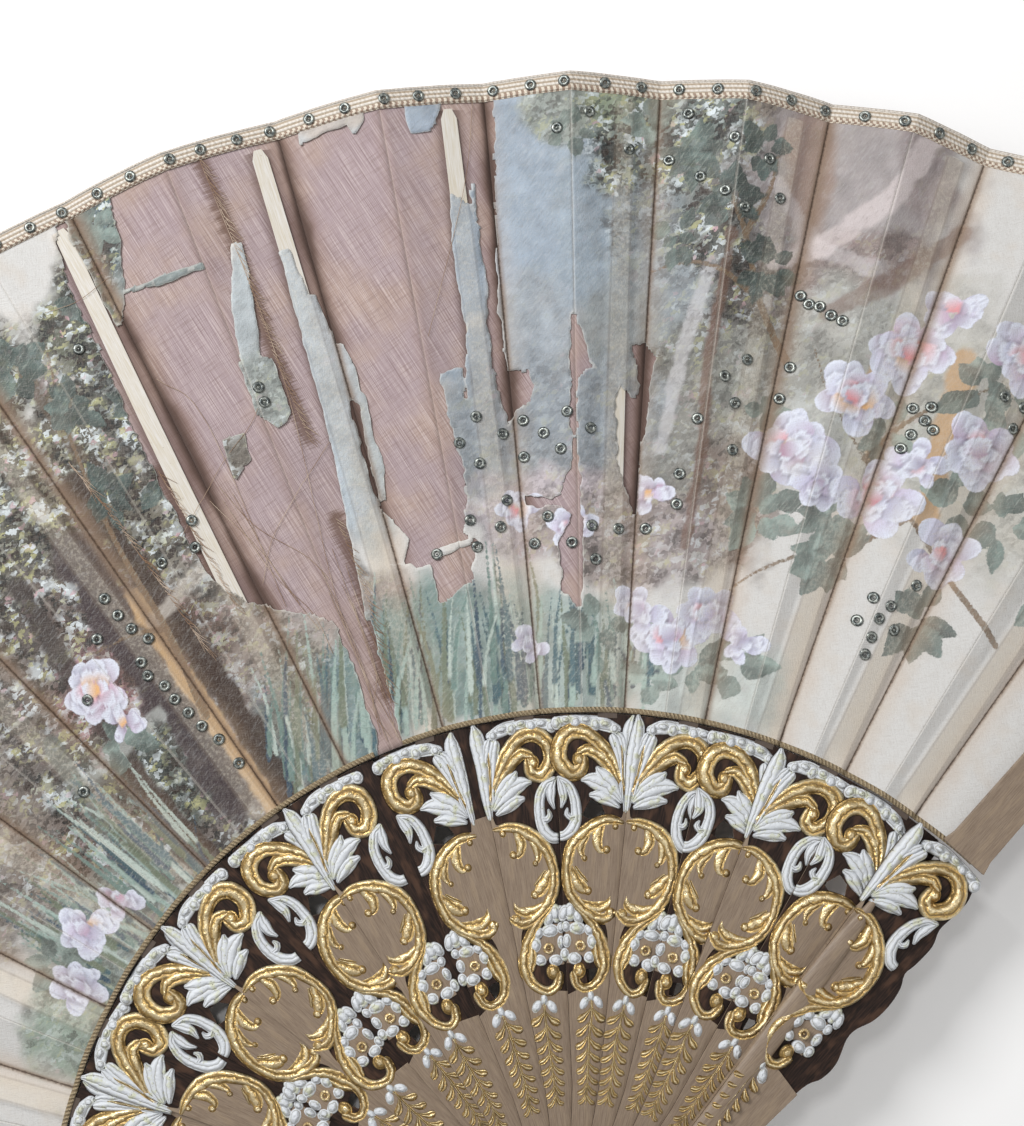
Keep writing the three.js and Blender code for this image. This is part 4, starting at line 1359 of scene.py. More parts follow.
# Washes of the ground, in plan: centre, half sizes, colour, strength, and how full of small dabs.
# The later lie over the earlier.
WASHES = [
    (-132, 165, 58, 80, (100, 92, 88), 1, 0.8), (-64, 184, 18, 14, (160, 148, 142), 1, 0.2),
    (34, 284, 20, 20, (126, 132, 134), 1, 0.3), (20, 222, 24, 20, (150, 142, 138), 0.9, 0.3),
    (-75, 270, 22, 60, (170, 180, 188), 1, 0.1), (-40, 300, 16, 50, (154, 166, 178), 1, 0.05),
    (-123, 290, 18, 7, (132, 142, 142), 1, 0.1), (-98, 274, 11, 26, (172, 180, 184), 1, 0.05),
    (-93, 252, 9, 11, (148, 156, 150), 1, 0.4), (-103, 235, 8, 9, (116, 110, 102), 1, 0.3),
    (-47, 338, 9, 9, (150, 162, 176), 1, 0.05), (-76, 340, 14, 8, (176, 166, 158), 0.8, 0.1),
    (-146, 306, 10, 14, (78, 100, 104), 1, 1), (-148, 274, 12, 18, (88, 92, 78), 1, 1),
    (-152, 238, 15, 24, (104, 100, 86), 1, 1), (-141, 217, 18, 18, (84, 74, 62), 0.95, 1),
    (-120, 217, 18, 27, (100, 96, 84), 0.95, 1), (-129, 253, 18, 18, (92, 98, 96), 0.95, 1),
    (-114, 192, 18, 15, (132, 126, 118), 0.9, 0.6), (-100, 176, 18, 14, (150, 138, 130), 0.9, 0.4),
    (-147, 192, 12, 15, (88, 74, 68), 0.95, 1), (-144, 165, 14, 15, (128, 92, 94), 0.95, 0.8),
    (-123, 180, 21, 12, (90, 70, 60), 0.95, 0.5), (-112, 152, 20, 17, (66, 56, 60), 1, 0.5),
    (-129, 138, 24, 18, (88, 96, 90), 0.95, 0.9), (-141, 117, 18, 18, (106, 92, 86), 0.95, 0.8),
    (-144, 93, 18, 15, (142, 148, 142), 0.9, 0.4), (-147, 68, 15, 18, (140, 156, 142), 0.9, 0.4),
    (-128, 96, 12, 20, (128, 136, 132), 0.8, 0.3), (-92, 148, 16, 16, (142, 128, 122), 0.9, 0.4),
    (-75, 156, 18, 18, (92, 120, 124), 0.9, 0.2), (-86, 166, 9, 14, (120, 116, 104), 0.7, 0.5),
    (-95, 255, 10, 14, (154, 160, 158), 0.6, 0.3), (-15, 304, 18, 51, (148, 161, 175), 1, 0.05),
    (-15, 265, 16, 21, (150, 158, 166), 0.9, 0.1), (9, 304, 14, 42, (148, 161, 173), 1, 0.08),
    (-30, 234, 16, 16, (142, 150, 156), 0.9, 0.15), (-60, 250, 8, 40, (158, 168, 172), 0.8, 0.1),
    (14, 341, 14, 10, (132, 144, 118), 0.9, 0.7), (-6, 338, 9, 9, (146, 152, 140), 0.8, 0.5),
    (36, 323, 28, 26, (104, 114, 110), 1, 1), (24, 295, 14, 24, (138, 146, 152), 0.9, 0.3),
    (48, 301, 15, 18, (88, 92, 88), 0.95, 1), (62, 338, 10, 12, (136, 122, 112), 0.8, 0.4),
    (54, 277, 15, 18, (88, 82, 80), 0.9, 0.7), (66, 262, 13, 10, (86, 72, 70), 0.85, 0.2),
    (36, 247, 18, 24, (112, 112, 106), 0.9, 0.4), (42, 223, 15, 21, (140, 126, 118), 0.9, 0.5),
    (10, 262, 14, 26, (138, 144, 146), 0.9, 0.1), (22, 240, 12, 20, (124, 126, 122), 0.8, 0.2),
    (-6, 244, 27, 16, (136, 144, 152), 0.9, 0.2), (-12, 217, 21, 11, (182, 172, 178), 0.9, 0.3),
    (9, 211, 21, 12, (156, 144, 140), 0.9, 0.5), (24, 205, 18, 12, (164, 154, 154), 0.9, 0.5),
    (-42, 174, 28, 21, (116, 138, 134), 0.95, 0.1), (-6, 174, 27, 18, (150, 166, 162), 0.9, 0.1),
    (33, 165, 21, 16, (182, 190, 186), 0.8, 0.05), (84, 314, 33, 33, (150, 142, 143), 0.9, 0.05),
    (70, 320, 7, 21, (148, 124, 114), 0.75, 0.05), (87, 292, 18, 9, (132, 116, 112), 0.8, 0.3),
    (105, 323, 9, 21, (136, 124, 124), 0.75, 0.1), (81, 253, 36, 27, (164, 166, 160), 0.7, 0.3),
    (118, 240, 24, 40, (172, 170, 160), 0.5, 0.2), (-190, 230, 32, 44, (98, 98, 86), 0.95, 1),
    (-230, 160, 40, 40, (124, 124, 112), 0.85, 0.7), (-270, 80, 44, 44, (150, 150, 140), 0.7, 0.4),
    (-190, 120, 30, 34, (140, 130, 122), 0.8, 0.4), (150, 225, 30, 40, (172, 170, 160), 0.5, 0.3),
]
# Long worn or shaded streaks, in plan: points, half width, colour, strength.
STREAKS = [
    ([(-152, 207), (-132, 176), (-104, 134)], 6.4, (56, 44, 48), 0.95),
    ([(-134, 194), (-120, 172), (-91, 130)], 2.6, (196, 164, 124), 0.95),
    ([(-152, 228), (-136, 207), (-112, 175), (-86, 132)], 3.8, (54, 38, 30), 0.95),
    ([(-168, 196), (-150, 168), (-132, 140), (-118, 118)], 3, (54, 46, 44), 0.9),
    ([(-158, 150), (-142, 126), (-130, 104)], 2.2, (82, 94, 90), 0.7),
    ([(-128, 186), (-118, 196), (-108, 208)], 2, (214, 206, 196), 0.5),
    ([(-146, 140), (-134, 152), (-126, 158)], 2.4, (196, 200, 196), 0.5),
    ([(40, 292), (30, 262), (24, 236)], 1.8, (206, 204, 208), 0.5),
    ([(60, 316), (72, 296), (88, 288)], 2.2, (196, 190, 192), 0.5),
    ([(-166, 262), (-150, 236)], 2.4, (84, 64, 50), 0.7),
    ([(-134, 142), (-107, 112)], 2.6, (62, 46, 38), 0.9),
    ([(46, 300), (38, 262), (36, 236), (30, 206)], 1.5, (104, 76, 62), 0.8),
    ([(90, 262), (84, 246), (88, 232)], 2.2, (190, 152, 104), 0.7),
    ([(114, 260), (108, 240), (104, 224), (100, 214)], 3.4, (186, 146, 98), 0.75),
    ([(60, 292), (80, 300), (96, 312), (108, 330)], 3, (226, 214, 214), 0.5),
    ([(74, 276), (92, 284), (116, 300)], 2.6, (118, 92, 80), 0.6),
]
# Roses in plan: centre, size, and how pink they are.
ROSES = [
    (99, 264, 12, 0.9), (112, 276, 9, 0.4), (81, 250, 12, 0.7), (62, 235, 13, 0.45), (70, 224, 8, 0.2),
    (87, 221, 12, 0.8), (99, 230, 8, 0.3), (105, 203, 11, 0.5), (26, 180, 11, 0.6), (37, 186, 9, 0.3),
    (16, 188, 8, 0.2), (-20, 218, 8, 0.4), (-3, 213, 7, 0.5), (-145, 166, 11, 0.95), (-136, 156, 6, 0.5),
    (-147, 95, 9, 0.5), (-150, 79, 9, 0.2), (-138, 104, 7, 0.6), (47, 178, 7, 0.2), (118, 234, 12, 0.5),
    (132, 262, 11, 0.7), (146, 232, 11, 0.4), (160, 196, 12, 0.5), (-205, 200, 13, 0.8),
    (-236, 170, 12, 0.5), (-262, 120, 13, 0.7), (-212, 128, 11, 0.4), (-292, 70, 12, 0.6),
    (-240, 44, 11, 0.3), (20, 222, 7, 0.5), (-16, 178, 6, 0.1),
]
# Bunches of leaves in plan: centre, number of leaves, length, tone from pale to dark.
LEAF_BUNCHES = [
    (53, 216, 9, 12, 0.5), (73, 203, 9, 13, 0.55), (99, 184, 8, 12, 0.65), (46, 172, 8, 11, 0.4),
    (5, 184, 6, 9, 0.45), (19, 168, 6, 9, 0.4), (72, 214, 6, 10, 0.5), (32, 170, 6, 9, 0.45),
    (92, 240, 7, 11, 0.45), (112, 218, 8, 12, 0.55), (36, 325, 16, 9, 0.75), (46, 310, 14, 9, 0.9),
    (22, 336, 10, 8, 0.5), (56, 326, 10, 8, 0.85), (30, 300, 8, 8, 0.7), (56, 290, 10, 9, 0.95),
    (-146, 306, 12, 8, 0.6), (-150, 282, 10, 8, 0.8), (-134, 252, 10, 8, 0.8), (-124, 228, 10, 8, 0.9),
    (-152, 250, 10, 9, 0.8), (-141, 224, 12, 9, 0.95), (-156, 86, 8, 10, 0.4), (-136, 150, 8, 9, 0.6),
    (130, 242, 8, 12, 0.5), (150, 214, 8, 12, 0.5), (138, 190, 7, 11, 0.5), (-216, 184, 10, 12, 0.6),
    (-190, 240, 14, 11, 0.8), (-170, 262, 12, 10, 0.85), (-250, 142, 10, 12, 0.5), (-276, 96, 10, 12, 0.5),
    (-224, 96, 8, 11, 0.4), (-300, 50, 8, 12, 0.5), (-2, 332, 7, 7, 0.5), (118, 252, 7, 11, 0.5),
    (58, 246, 6, 9, 0.6), (124, 212, 7, 11, 0.6),
]
# Twigs in plan: points, half width.
TWIGS = [
    ([(120, 176), (108, 196), (96, 214), (84, 232), (74, 250), (70, 266)], 0.9),
    ([(96, 214), (80, 206), (66, 204), (50, 198), (40, 190)], 0.85),
    ([(84, 232), (96, 242), (112, 250), (130, 252)], 0.85),
    ([(62, 262), (54, 280), (50, 300), (42, 318), (30, 332)], 1.2),
    ([(54, 280), (44, 288), (34, 292), (22, 290)], 0.95),
    ([(50, 300), (58, 314), (62, 330)], 1),
    ([(-112, 158), (-124, 184), (-138, 208), (-152, 240), (-160, 270)], 1.2),
    ([(-124, 184), (-134, 182), (-146, 176)], 0.95),
    ([(-210, 90), (-222, 124), (-226, 156), (-212, 190), (-192, 226)], 1.2),
    ([(-226, 156), (-244, 148), (-264, 126), (-288, 84)], 1),
    ([(150, 176), (144, 204), (138, 236), (132, 262)], 1),
]


class Painting:
    """The painted leaf: what each point of the cloth is coloured, before the folds and wear."""

    layers = ("busy", "tint", "cover", "leaf_edge", "leaf_tint", "petal_edge", "petal_line", "petal_tint")

    def __init__(self, x, y):
        self.x = x
        self.y = y
        self.tint, self.leaf_tint, self.petal_tint = (
            np.tile(np.array(tone), (len(x), 1))
            for tone in (colours().silk, srgb(120, 140, 120), srgb(226, 206, 208)))
        self.cover, self.busy = np.zeros(len(x)), np.zeros(len(x))
        self.leaf_edge, self.petal_edge, self.petal_line = (np.full(len(x), 6.0) for _ in range(3))

    def box(self, path, margin):
        """Which points of the cloth lie in the box round a path, and their places."""
        low, high = path[:, :2].min(0) - margin, path[:, :2].max(0) + margin
        near = (self.x > low[0]) & (self.x < high[0]) & (self.y > low[1]) & (self.y < high[1])
        return near, self.x[near], self.y[near]

    def turned(self, cx, cy, reach, turn):
        """Which points lie within reach of a centre, and how far along and aside of a direction."""
        near = np.hypot(self.x - cx, self.y - cy) < reach
        dx, dy = self.x[near] - cx, self.y[near] - cy
        return near, dx * cos(turn) + dy * sin(turn), dy * cos(turn) - dx * sin(turn)

    def wash(self, cx, cy, wide, high, tone, strength, busy, seed):
        """A patch of thin paint with a ragged edge."""
        near = (np.abs(self.x - cx) < wide * 1.9) & (np.abs(self.y - cy) < high * 1.9)
        x, y = self.x[near], self.y[near]
        uneven = (rough_clouds(x, y, 11, seed) - 0.5) * 1.1
        share = share_of((1.28 - np.hypot((x - cx) / wide, (y - cy) / high) + uneven) / 0.42) * strength
        mottled = 1 + (rough_clouds(x, y, 5, seed + 300)[:, None] - 0.5) * 0.6
        paint = share_of(np.array(srgb(*tone)) * mottled)
        self.tint[near] += (paint - self.tint[near]) * share[:, None]
        self.cover[near] = np.maximum(self.cover[near], share * 0.9)
        self.busy[near] += (busy - self.busy[near]) * share

    def streak(self, points, half, tone, strength, seed):
        """A stroke over the washes: worn silk, loaded paint, or painted shade in a fold."""
        near, x, y = self.box(np.array(points), 9)
        away = path_field(x, y, points) / half + (rough_clouds(x, y, 5, seed) - 0.5) * 1.3
        share = share_of((1.25 - away) / 0.35) * strength
        self.tint[near] += (np.array(srgb(*tone)) - self.tint[near]) * share[:, None]
        self.busy[near] *= 1 - share

    def put(self, layer, near, field, tone):
        """Lay one shape of crisp outline: field is its signed distance at the near points."""
        edge = getattr(self, layer + "_edge")
        tints = getattr(self, layer + "_tint")
        index = np.flatnonzero(near)
        shaded = (field > 0) & (field < 0.8) & (edge[index] < 0)
        tints[index[shaded]] *= 0.8
        takes = (field < 0.3) | ((field < 1.6) & (edge[index] > 1.2))
        tints[index[takes]] = tone if np.ndim(tone) == 1 else tone[takes]
        edge[index] = np.minimum(edge[index], field)
        return index

    def leaf(self, cx, cy, length, wide, turn, tone):
        """A pointed leaf, lighter on one side of its middle."""
        near, along, aside = self.turned(cx, cy, length + 3, turn)
        along = along / length
        bulge = wide * np.sin(np.pi * share_of(along) ** 0.8)
        overrun = np.maximum(along - 1, -along) * length
        field = np.maximum(np.abs(aside) - bulge, np.maximum(overrun, -3))
        mottled = clouds(self.x[near] - cx, self.y[near] - cy, 3, 9) - 0.5
        shade = 1 + 0.2 * np.sign(aside) + mottled * 0.4
        self.put("leaf", near, field, share_of(np.array(srgb(*tone)) * shade[:, None]))

    def blade(self, points, half, tone):
        """A long tapering stroke."""
        last = len(points) - 1
        path = smooth_path([(x, y, half * (1 - 0.8 * k / last)) for k, (x, y) in enumerate(points)], 0.7)
        near, x, y = self.box(path, 3)
        field = np.full(x.shape, 9.0)
        for px, py, width in path:
            field = np.minimum(field, np.hypot(x - px, y - py) - width)
        self.put("leaf", near, field, np.array(srgb(*tone)))

    def petal(self, cx, cy, long, wide, turn, tone):
        """An oval petal that pales towards its tip."""
        near, along, aside = self.turned(cx, cy, long + 2.5, turn)
        field = (np.hypot(along / long, aside / wide) - 1) * min(long, wide)
        fade = share_of(0.45 + 0.6 * along / long)[:, None]
        paint = np.array(srgb(*tone)) * (1 - fade) + np.array(srgb(212, 217, 231)) * fade
        index = self.put("petal", near, field, paint)
        over = field < 0.3
        self.petal_line[index[over]] = np.abs(field[over]) + share_of(0.4 - along[over] / long) * 1.2

    def rose(self, cx, cy, size, pink, rng):
        """A loose flower head: broad outer petals first, small tinted ones last, in its middle."""
        count = int(size * 1.7)
        away = np.sort(rng.random(count))[::-1] ** 0.7
        for k, distance in enumerate(away):
            turn = 2.4 * k + rng.normal(0, 0.35)
            reach = size * 0.78 * distance
            length = size * (0.2 + 0.19 * distance) * rng.uniform(0.85, 1.15)
            blush = pink * rng.random() * (1.4 - distance)
            pale = rng.uniform(0.86, 1.1)
            tone = ((180 + 34 * blush) * pale, (180 - 40 * blush) * pale, (206 - 48 * blush) * pale)
            if distance < 0.5 and rng.random() < pink * 0.7:
                tone = (222, 146, 152) if rng.random() < 0.6 else (228, 178, 122)
            self.petal(cx + reach * cos(turn), cy + reach * sin(turn) * 0.9, length,
                       length * rng.uniform(0.68, 0.92), turn + rng.normal(0, 0.4), tone)

    def grass(self, rng):
        """Upright blades along the leaf's inner edge."""
        tones = [(68, 98, 108), (106, 132, 126), (156, 178, 170),
                 (50, 74, 94), (184, 198, 190), (108, 118, 98)]
        for _ in range(290):
            bearing = rng.uniform(-33, 8) if rng.random() < 0.7 else rng.uniform(-62, -43)
            foot = rng.uniform(155, 174)
            tall = rng.uniform(16, 42) * (1 if bearing < 0 else 0.6)
            lean = rng.normal(0, 3.0)
            angle = radians(bearing)
            x, y = foot * sin(angle), foot * cos(angle)
            grow = angle if bearing < -40 else angle * 0.1
            up, aside = (sin(grow), cos(grow)), (cos(grow), -sin(grow))
            points = [(x + up[0] * tall * share + aside[0] * lean * share**2,
                       y + up[1] * tall * share + aside[1] * lean * share**2) for share in (0, 0.5, 1)]
            self.blade(points, rng.uniform(0.4, 0.95), tones[rng.integers(len(tones))])

    def paint(self):
        for k, wash in enumerate(WASHES):
            self.wash(*wash, 400 + 7 * k)
        for k, streak in enumerate(STREAKS):
            self.streak(*streak, 900 + 5 * k)
        rng = np.random.default_rng(21)
        self.grass(rng)
        for points, half in TWIGS:
            self.blade(points, half, (116, 94, 72))
        for cx, cy, count, length, dark in LEAF_BUNCHES:
            for k in range(count):
                turn = 2 * pi * k / count + rng.normal(0, 0.35)
                start = rng.uniform(0, 0.45) * length
                tone = np.array((172, 184, 176)) * (1 - dark) + np.array((48, 62, 60)) * dark
                tone = np.clip(tone * rng.uniform(0.8, 1.25), 0, 255)
                self.leaf(cx + start * cos(turn), cy + start * sin(turn),
                          length * rng.uniform(0.6, 1), length * rng.uniform(0.2, 0.32), turn, tone)
        for rose in ROSES:
            self.rose(*rose, rng)


# Width in mm of the dark band beside each valley of the leaf, by stick: stained, worn silk and painted shade
# in the fold.
DARK_VALLEYS = [1.5, 2, 2, 2.2, 2.4, 2.2, 3.4, 3, 1.2, 0.9, 0.7, 2.6, 1.5, 1.1, 1, 1]


def valley_stain_and_shade(facet, x, y, valley):
    """How dark the silk is beside its valley, from 0 to 1, from stains and painted shade: broad on the free
    fold, narrow on the panel.
    """
    width = DARK_VALLEYS[facet.index] * (1.0 if facet.free else 0.45)
    uneven = 0.5 + rough_clouds(x, y, 9, 640 + facet.index)
    fresh = np.clip((np.hypot(x, y) - LEAF_INNER) / 90, 0.35, 1)
    return share_of(1.25 - valley / (width * uneven * fresh + 0.3))


def add_values(data, name, values):
    """Store values on a mesh's points, three columns as a colour."""
    if values.ndim == 2:
        layer = data.attributes.new(name, "FLOAT_COLOR", "POINT")
        opaque = np.column_stack([values, np.ones(len(values))])
        layer.data.foreach_set("color", opaque.astype(np.float32).ravel())
    else:
        layer = data.attributes.new(name, "FLOAT", "POINT")
        layer.data.foreach_set("value", values.astype(np.float32))


def cloth_mesh(name, columns, rows, x, y, z):
    """A grid of the facet's cells, moved to its points, with a UV map of the plan in centimetres."""
    mesh = bmesh.new()
    bmesh.ops.create_grid(mesh, x_segments=columns, y_segments=rows, size=1)
    data = to_data(name, mesh)
    data.vertices.foreach_set("co", np.column_stack([x, y, z]).astype(np.float32).ravel() * MM)
    corners = np.zeros(len(data.loops), np.int32)
    data.loops.foreach_get("vertex_index", corners)
    layer = data.uv_layers.new(name="UVMap")
    layer.data.foreach_set("uv", np.column_stack([x, y])[corners].astype(np.float32).ravel() / 10)
    data.update()
    return data


def find_crumbs(mesh):
    """The faces of every small patch that hangs on nothing."""
    seen, crumbs = set(), []
    for first in mesh.faces:
        if first in seen:
            continue
        seen.add(first)
        patch = [first]
        for face in patch:
            fresh = {other for edge in face.edges for other in edge.link_faces} - seen
            seen |= fresh
            patch.extend(fresh)
        if len(patch) < CRUMB_FACES:
            crumbs.extend(patch)
    return crumbs


def cut_away(data, gone):
    """Delete the faces where the value at their points is positive on the whole."""
    mesh = bmesh.new()
    mesh.from_mesh(data)
    mesh.verts.ensure_lookup_table()
    lost = [face for face in mesh.faces if sum(gone[corner.index] for corner in face.verts) > 0]
    bmesh.ops.delete(mesh, geom=lost, context="FACES")
    bmesh.ops.delete(mesh, geom=find_crumbs(mesh), context="FACES")
    loose = [corner for corner in mesh.verts if not corner.link_faces]
    bmesh.ops.delete(mesh, geom=loose, context="VERTS")
    area = sum(face.calc_area() for face in mesh.faces)
    mesh.to_mesh(data)
    mesh.free()
    return area


def hang(facet, data, material):
    """Put a sheet of silk in the scene, and make it follow its facet."""
    data.materials.append(material())
    piece = new_object(data.name, data, smooth=180)
    thicken(piece)
    facet.attach(piece)
    return piece


class FAN_OT_backing(Operator):
    """Make the silk gauze behind the painted leaf"""
    bl_idname = "fan.backing"
    bl_label = "Backing"

    def execute(self, context):
        for facet in FACETS:
            x, y, columns, rows = facet_points(facet, 2.0)
            valley, ridge, rib = fold_distances(facet, x, y)
            z = facet.height(x, y) - BACKING_DROP + ripple(x, y) * calm(valley, ridge, rib)
            z = z - 0.14 * share_of(1.5 - rib)
            data = cloth_mesh(f"backing_{facet.node}", columns, rows, x, y, z)
            frayed = np.full_like(x, FAR)
            for points, _ in COMBS:
                frayed = np.minimum(frayed, path_field(x, y, points))
            for name, values in (("valley", valley), ("ridge", ridge), ("rib", rib), ("frayed", frayed)):
                add_values(data, name, values)
            piece = hang(facet, data, backing_finish)
            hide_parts(facet.node)
            width, length = facet.flat_size()
        return {"FINISHED"}


def snap_to_tears(x, y, grids):
    """Move points that lie near a tear onto it, so that its edge isn't stepped."""
    gone = torn_field(x, y)
    e = 0.2
    gx = (torn_field(x + e, y) - torn_field(x - e, y)) / (2 * e)
    gy = (torn_field(x, y + e) - torn_field(x, y - e)) / (2 * e)
    slope = np.maximum(gx * gx + gy * gy, 0.3)
    inner = []
    for _, _, columns, rows in grids:
        flags = np.zeros((rows + 1, columns + 1), bool)
        flags[1:-1, 1:-1] = True
        inner.append(flags.ravel())
    near = (np.abs(gone) < 0.55) & np.concatenate(inner)
    x = np.where(near, x - gone * gx / slope * 0.9, x)
    y = np.where(near, y - gone * gy / slope * 0.9, y)
    return x, y, np.where(near, gone * 0.1, gone)


def add_facet(facet, grid, x, y, gone, painting, part):
    """Add one facet's painted silk, curled up at the tears. part picks its points out of the painting."""
    valley, ridge, rib = fold_distances(facet, x, y)
    edge = np.maximum(-gone, 0)
    still = calm(valley, ridge, rib)
    curl = 0.55 * np.exp(-edge / 2.2) * clouds(x, y, 7, 31) * still
    z = facet.height(x, y) - PAINT_DROP + ripple(x, y) * still + over_rib(facet, x, y, rib) + curl
    data = cloth_mesh(f"paint_{facet.node}", grid[2], grid[3], x, y, z)
    values = {"valley": valley, "ridge": ridge, "rib": rib, "torn_edge": edge,
              "dark": valley_stain_and_shade(facet, x, y, valley)}
    values.update({name: getattr(painting, name)[part] for name in painting.layers})
    for name, column in values.items():
        add_values(data, name, column)
    area = cut_away(data, gone)
    if area < LEAST_AREA:
        bpy.data.meshes.remove(data)
        return
    piece = hang(facet, data, paint_finish)
    width, length = facet.flat_size()
    width = max(0.01, min(width, area / length / 0.4))


class FAN_OT_painted_leaf(Operator):
    """Make the painted silk, with its tears"""
    bl_idname = "fan.painted_leaf"
    bl_label = "Painted leaf"

    def execute(self, context):
        grids = [facet_points(facet, sizes().grid_step / MM) for facet in FACETS]
        x = np.concatenate([grid[0] for grid in grids])
        y = np.concatenate([grid[1] for grid in grids])
        x, y, gone = snap_to_tears(x, y, grids)
        painting = Painting(x, y)
        painting.paint()
        start = 0
        for facet, grid in zip(FACETS, grids):
            part = slice(start, start + len(grid[0]))
            start = part.stop
            add_facet(facet, grid, x[part], y[part], gone[part], painting, part)
        return {"FINISHED"}


def add_trim(facet, name, rows, material, lift):
    """Lay strips along the leaf's edge; each row is a radius, a half width and a height."""
    mesh = new_mesh()
    layer = mesh.loops.layers.uv["UVMap"]
    step = 2.0
    for radius, half, top in rows:
        count = max(3, ceil(radius * radians(facet.right - facet.left) / step))
        angle = np.radians(np.linspace(facet.left, facet.right, count + 1))
        path = np.column_stack([radius * np.sin(angle), radius * np.cos(angle), np.full(count + 1, half)])
        whole = np.ones(len(path), bool)
        if material is gilt_thread_finish:
            whole = torn_field(path[:, 0], path[:, 1]) < 0
        cuts = np.flatnonzero(np.diff(whole)) + 1
        before = set(mesh.faces)
        for run, kept in zip(np.split(path, cuts), np.split(whole, cuts)):
            if kept[0] and len(run) > 1:
                strip(mesh, run, 0, top, step=step, sides=4, tips=(False, False))
        for face in set(mesh.faces) - before:
            for loop in face.loops:
                co = loop.vert.co
                loop[layer].uv = (atan2(co.x, co.y) * radius / 10, hypot(co.x, co.y) / 10)
    lay_on_cloth(mesh, facet, lift)
    piece = new_piece(name, mesh, [material], smooth=60)
    facet.attach(piece)


class FAN_OT_trimming(Operator):
    """Lay the braid along the outer edge and the gold thread along the inner one"""
    bl_idname = "fan.trimming"
    bl_label = "Trimming"

    def execute(self, context):
        for facet in FACETS:
            half = sizes().braid_width / MM / 2
            rows = [(LEAF_OUTER - half, half, 0.42), (LEAF_OUTER - 0.5, 0.45, 0.85),
                    (LEAF_OUTER - 2 * half + 0.6, 0.4, 0.75), (LEAF_OUTER - half, 0.32, 0.7)]
            add_trim(facet, f"braid_{facet.node}", rows, braid_finish, 0.1)
            rows = [(LEAF_INNER + 0.75, 0.8, 0.42)]
            add_trim(facet, f"edging_{facet.node}", rows, gilt_thread_finish, 0.0)
        return {"FINISHED"}


# Rings sewn on the leaf, in plan, besides the row along the braid.
SPANGLES = [
    (-97, 255), (-94, 251), (-116, 216), (-150, 268), (-36, 238), (-31, 246), (-30, 232), (-23, 241),
    (-17, 245), (-17, 234), (-11, 241), (-4, 247), (-6, 236), (3, 242), (-22, 221), (-33, 215), (-24, 213),
    (-10, 216), (-14, 208), (-3, 208), (3, 213), (11, 212), (19, 212), (4, 203), (-43, 205), (-31, 207),
    (28, 219), (29, 228), (36, 244), (45, 235), (46, 249), (43, 257), (50, 262), (66, 282), (69, 279),
    (72, 278), (75, 275), (78, 273), (58, 251), (63, 260), (99, 247), (104, 247), (102, 243), (98, 239),
    (104, 240), (95, 235), (86, 190), (90, 188), (85, 185), (80, 184), (91, 181), (84, 179), (82, 174),
    (98, 194), (-6, 333), (4, 338), (16, 327), (37, 318), (44, 313), (50, 308), (28, 324), (34, 338),
    (48, 329), (58, 323), (61, 311), (-115, 208), (-124, 204), (-142, 193), (-129, 181), (-138, 188),
    (-134, 184), (-131, 174), (-129, 170), (-124, 167), (-121, 163), (-117, 159), (-113, 155), (-108, 151),
    (-144, 181), (-147, 163), (-148, 136), (-102, 144), (-200, 205), (-208, 210), (-196, 214), (-232, 168),
    (-240, 160), (-226, 158), (-262, 124), (-270, 116), (126, 250), (134, 246), (130, 240), (150, 204),
    (156, 198),
]


def facet_at(x, y):
    """The facet under a plan point."""
    bearing = degrees(atan2(x, y))
    return next((facet for facet in FACETS if facet.left <= bearing <= facet.right), None)


class FAN_OT_spangles(Operator):
    """Sew the metal rings on the braid and the leaf"""
    bl_idname = "fan.spangles"
    bl_label = "Spangles"

    def execute(self, context):
        radius = sizes().spangle_radius / MM
        edge = LEAF_OUTER - 3.0
        pitch = degrees(sizes().spangle_step / MM / edge)
        bearing = FACETS[0].left + pitch
        places = list(SPANGLES)
        while bearing < FACETS[-1].right - 0.3:
            angle = radians(bearing)
            places.append((edge * sin(angle), edge * cos(angle)))
            bearing += pitch
        meshes = {}
        for x, y in places:
            facet = facet_at(x, y)
            if facet is None:
                continue
            mesh = meshes.setdefault(facet.node, (facet, new_mesh()))[1]
            r = hypot(x, y)
            on_braid = r > edge - 1
            margin = min(degrees((radius + 0.2) / r), (facet.right - facet.left) * 0.45)
            angle = atan2(x, y)
            angle = radians(min(max(degrees(angle), facet.left + margin), facet.right - margin))
            x, y = r * sin(angle), r * cos(angle)
            base = 0.75 if on_braid else 0.26
            ring(mesh, x, y, radius * 0.66, radius * 0.34, base, turns=12, sides=5, squash=0.55)
            bead(mesh, x, y, radius * 0.2, radius * 0.2, 0, base - 0.1, base + 0.3)
        for facet, mesh in meshes.values():
            lay_on_cloth(mesh, facet, 0)
            lay_uv(mesh)
            piece = new_piece(f"spangles_{facet.node}", mesh, [spangle_finish], smooth=180)
            facet.attach(piece)
        return {"FINISHED"}


# Frayed folds in plan: points of the worn line, and the length of the threads that stand across it.
COMBS = [
    ([(-114, 326), (-103, 299), (-92, 267), (-81, 240)], 5.5),
    ([(-73, 216), (-67, 201), (-62, 185), (-58, 164)], 5),
    ([(-153, 234), (-136, 212), (-112, 178)], 6),
    ([(-126, 231), (-113, 208), (-103, 190)], 5),
]
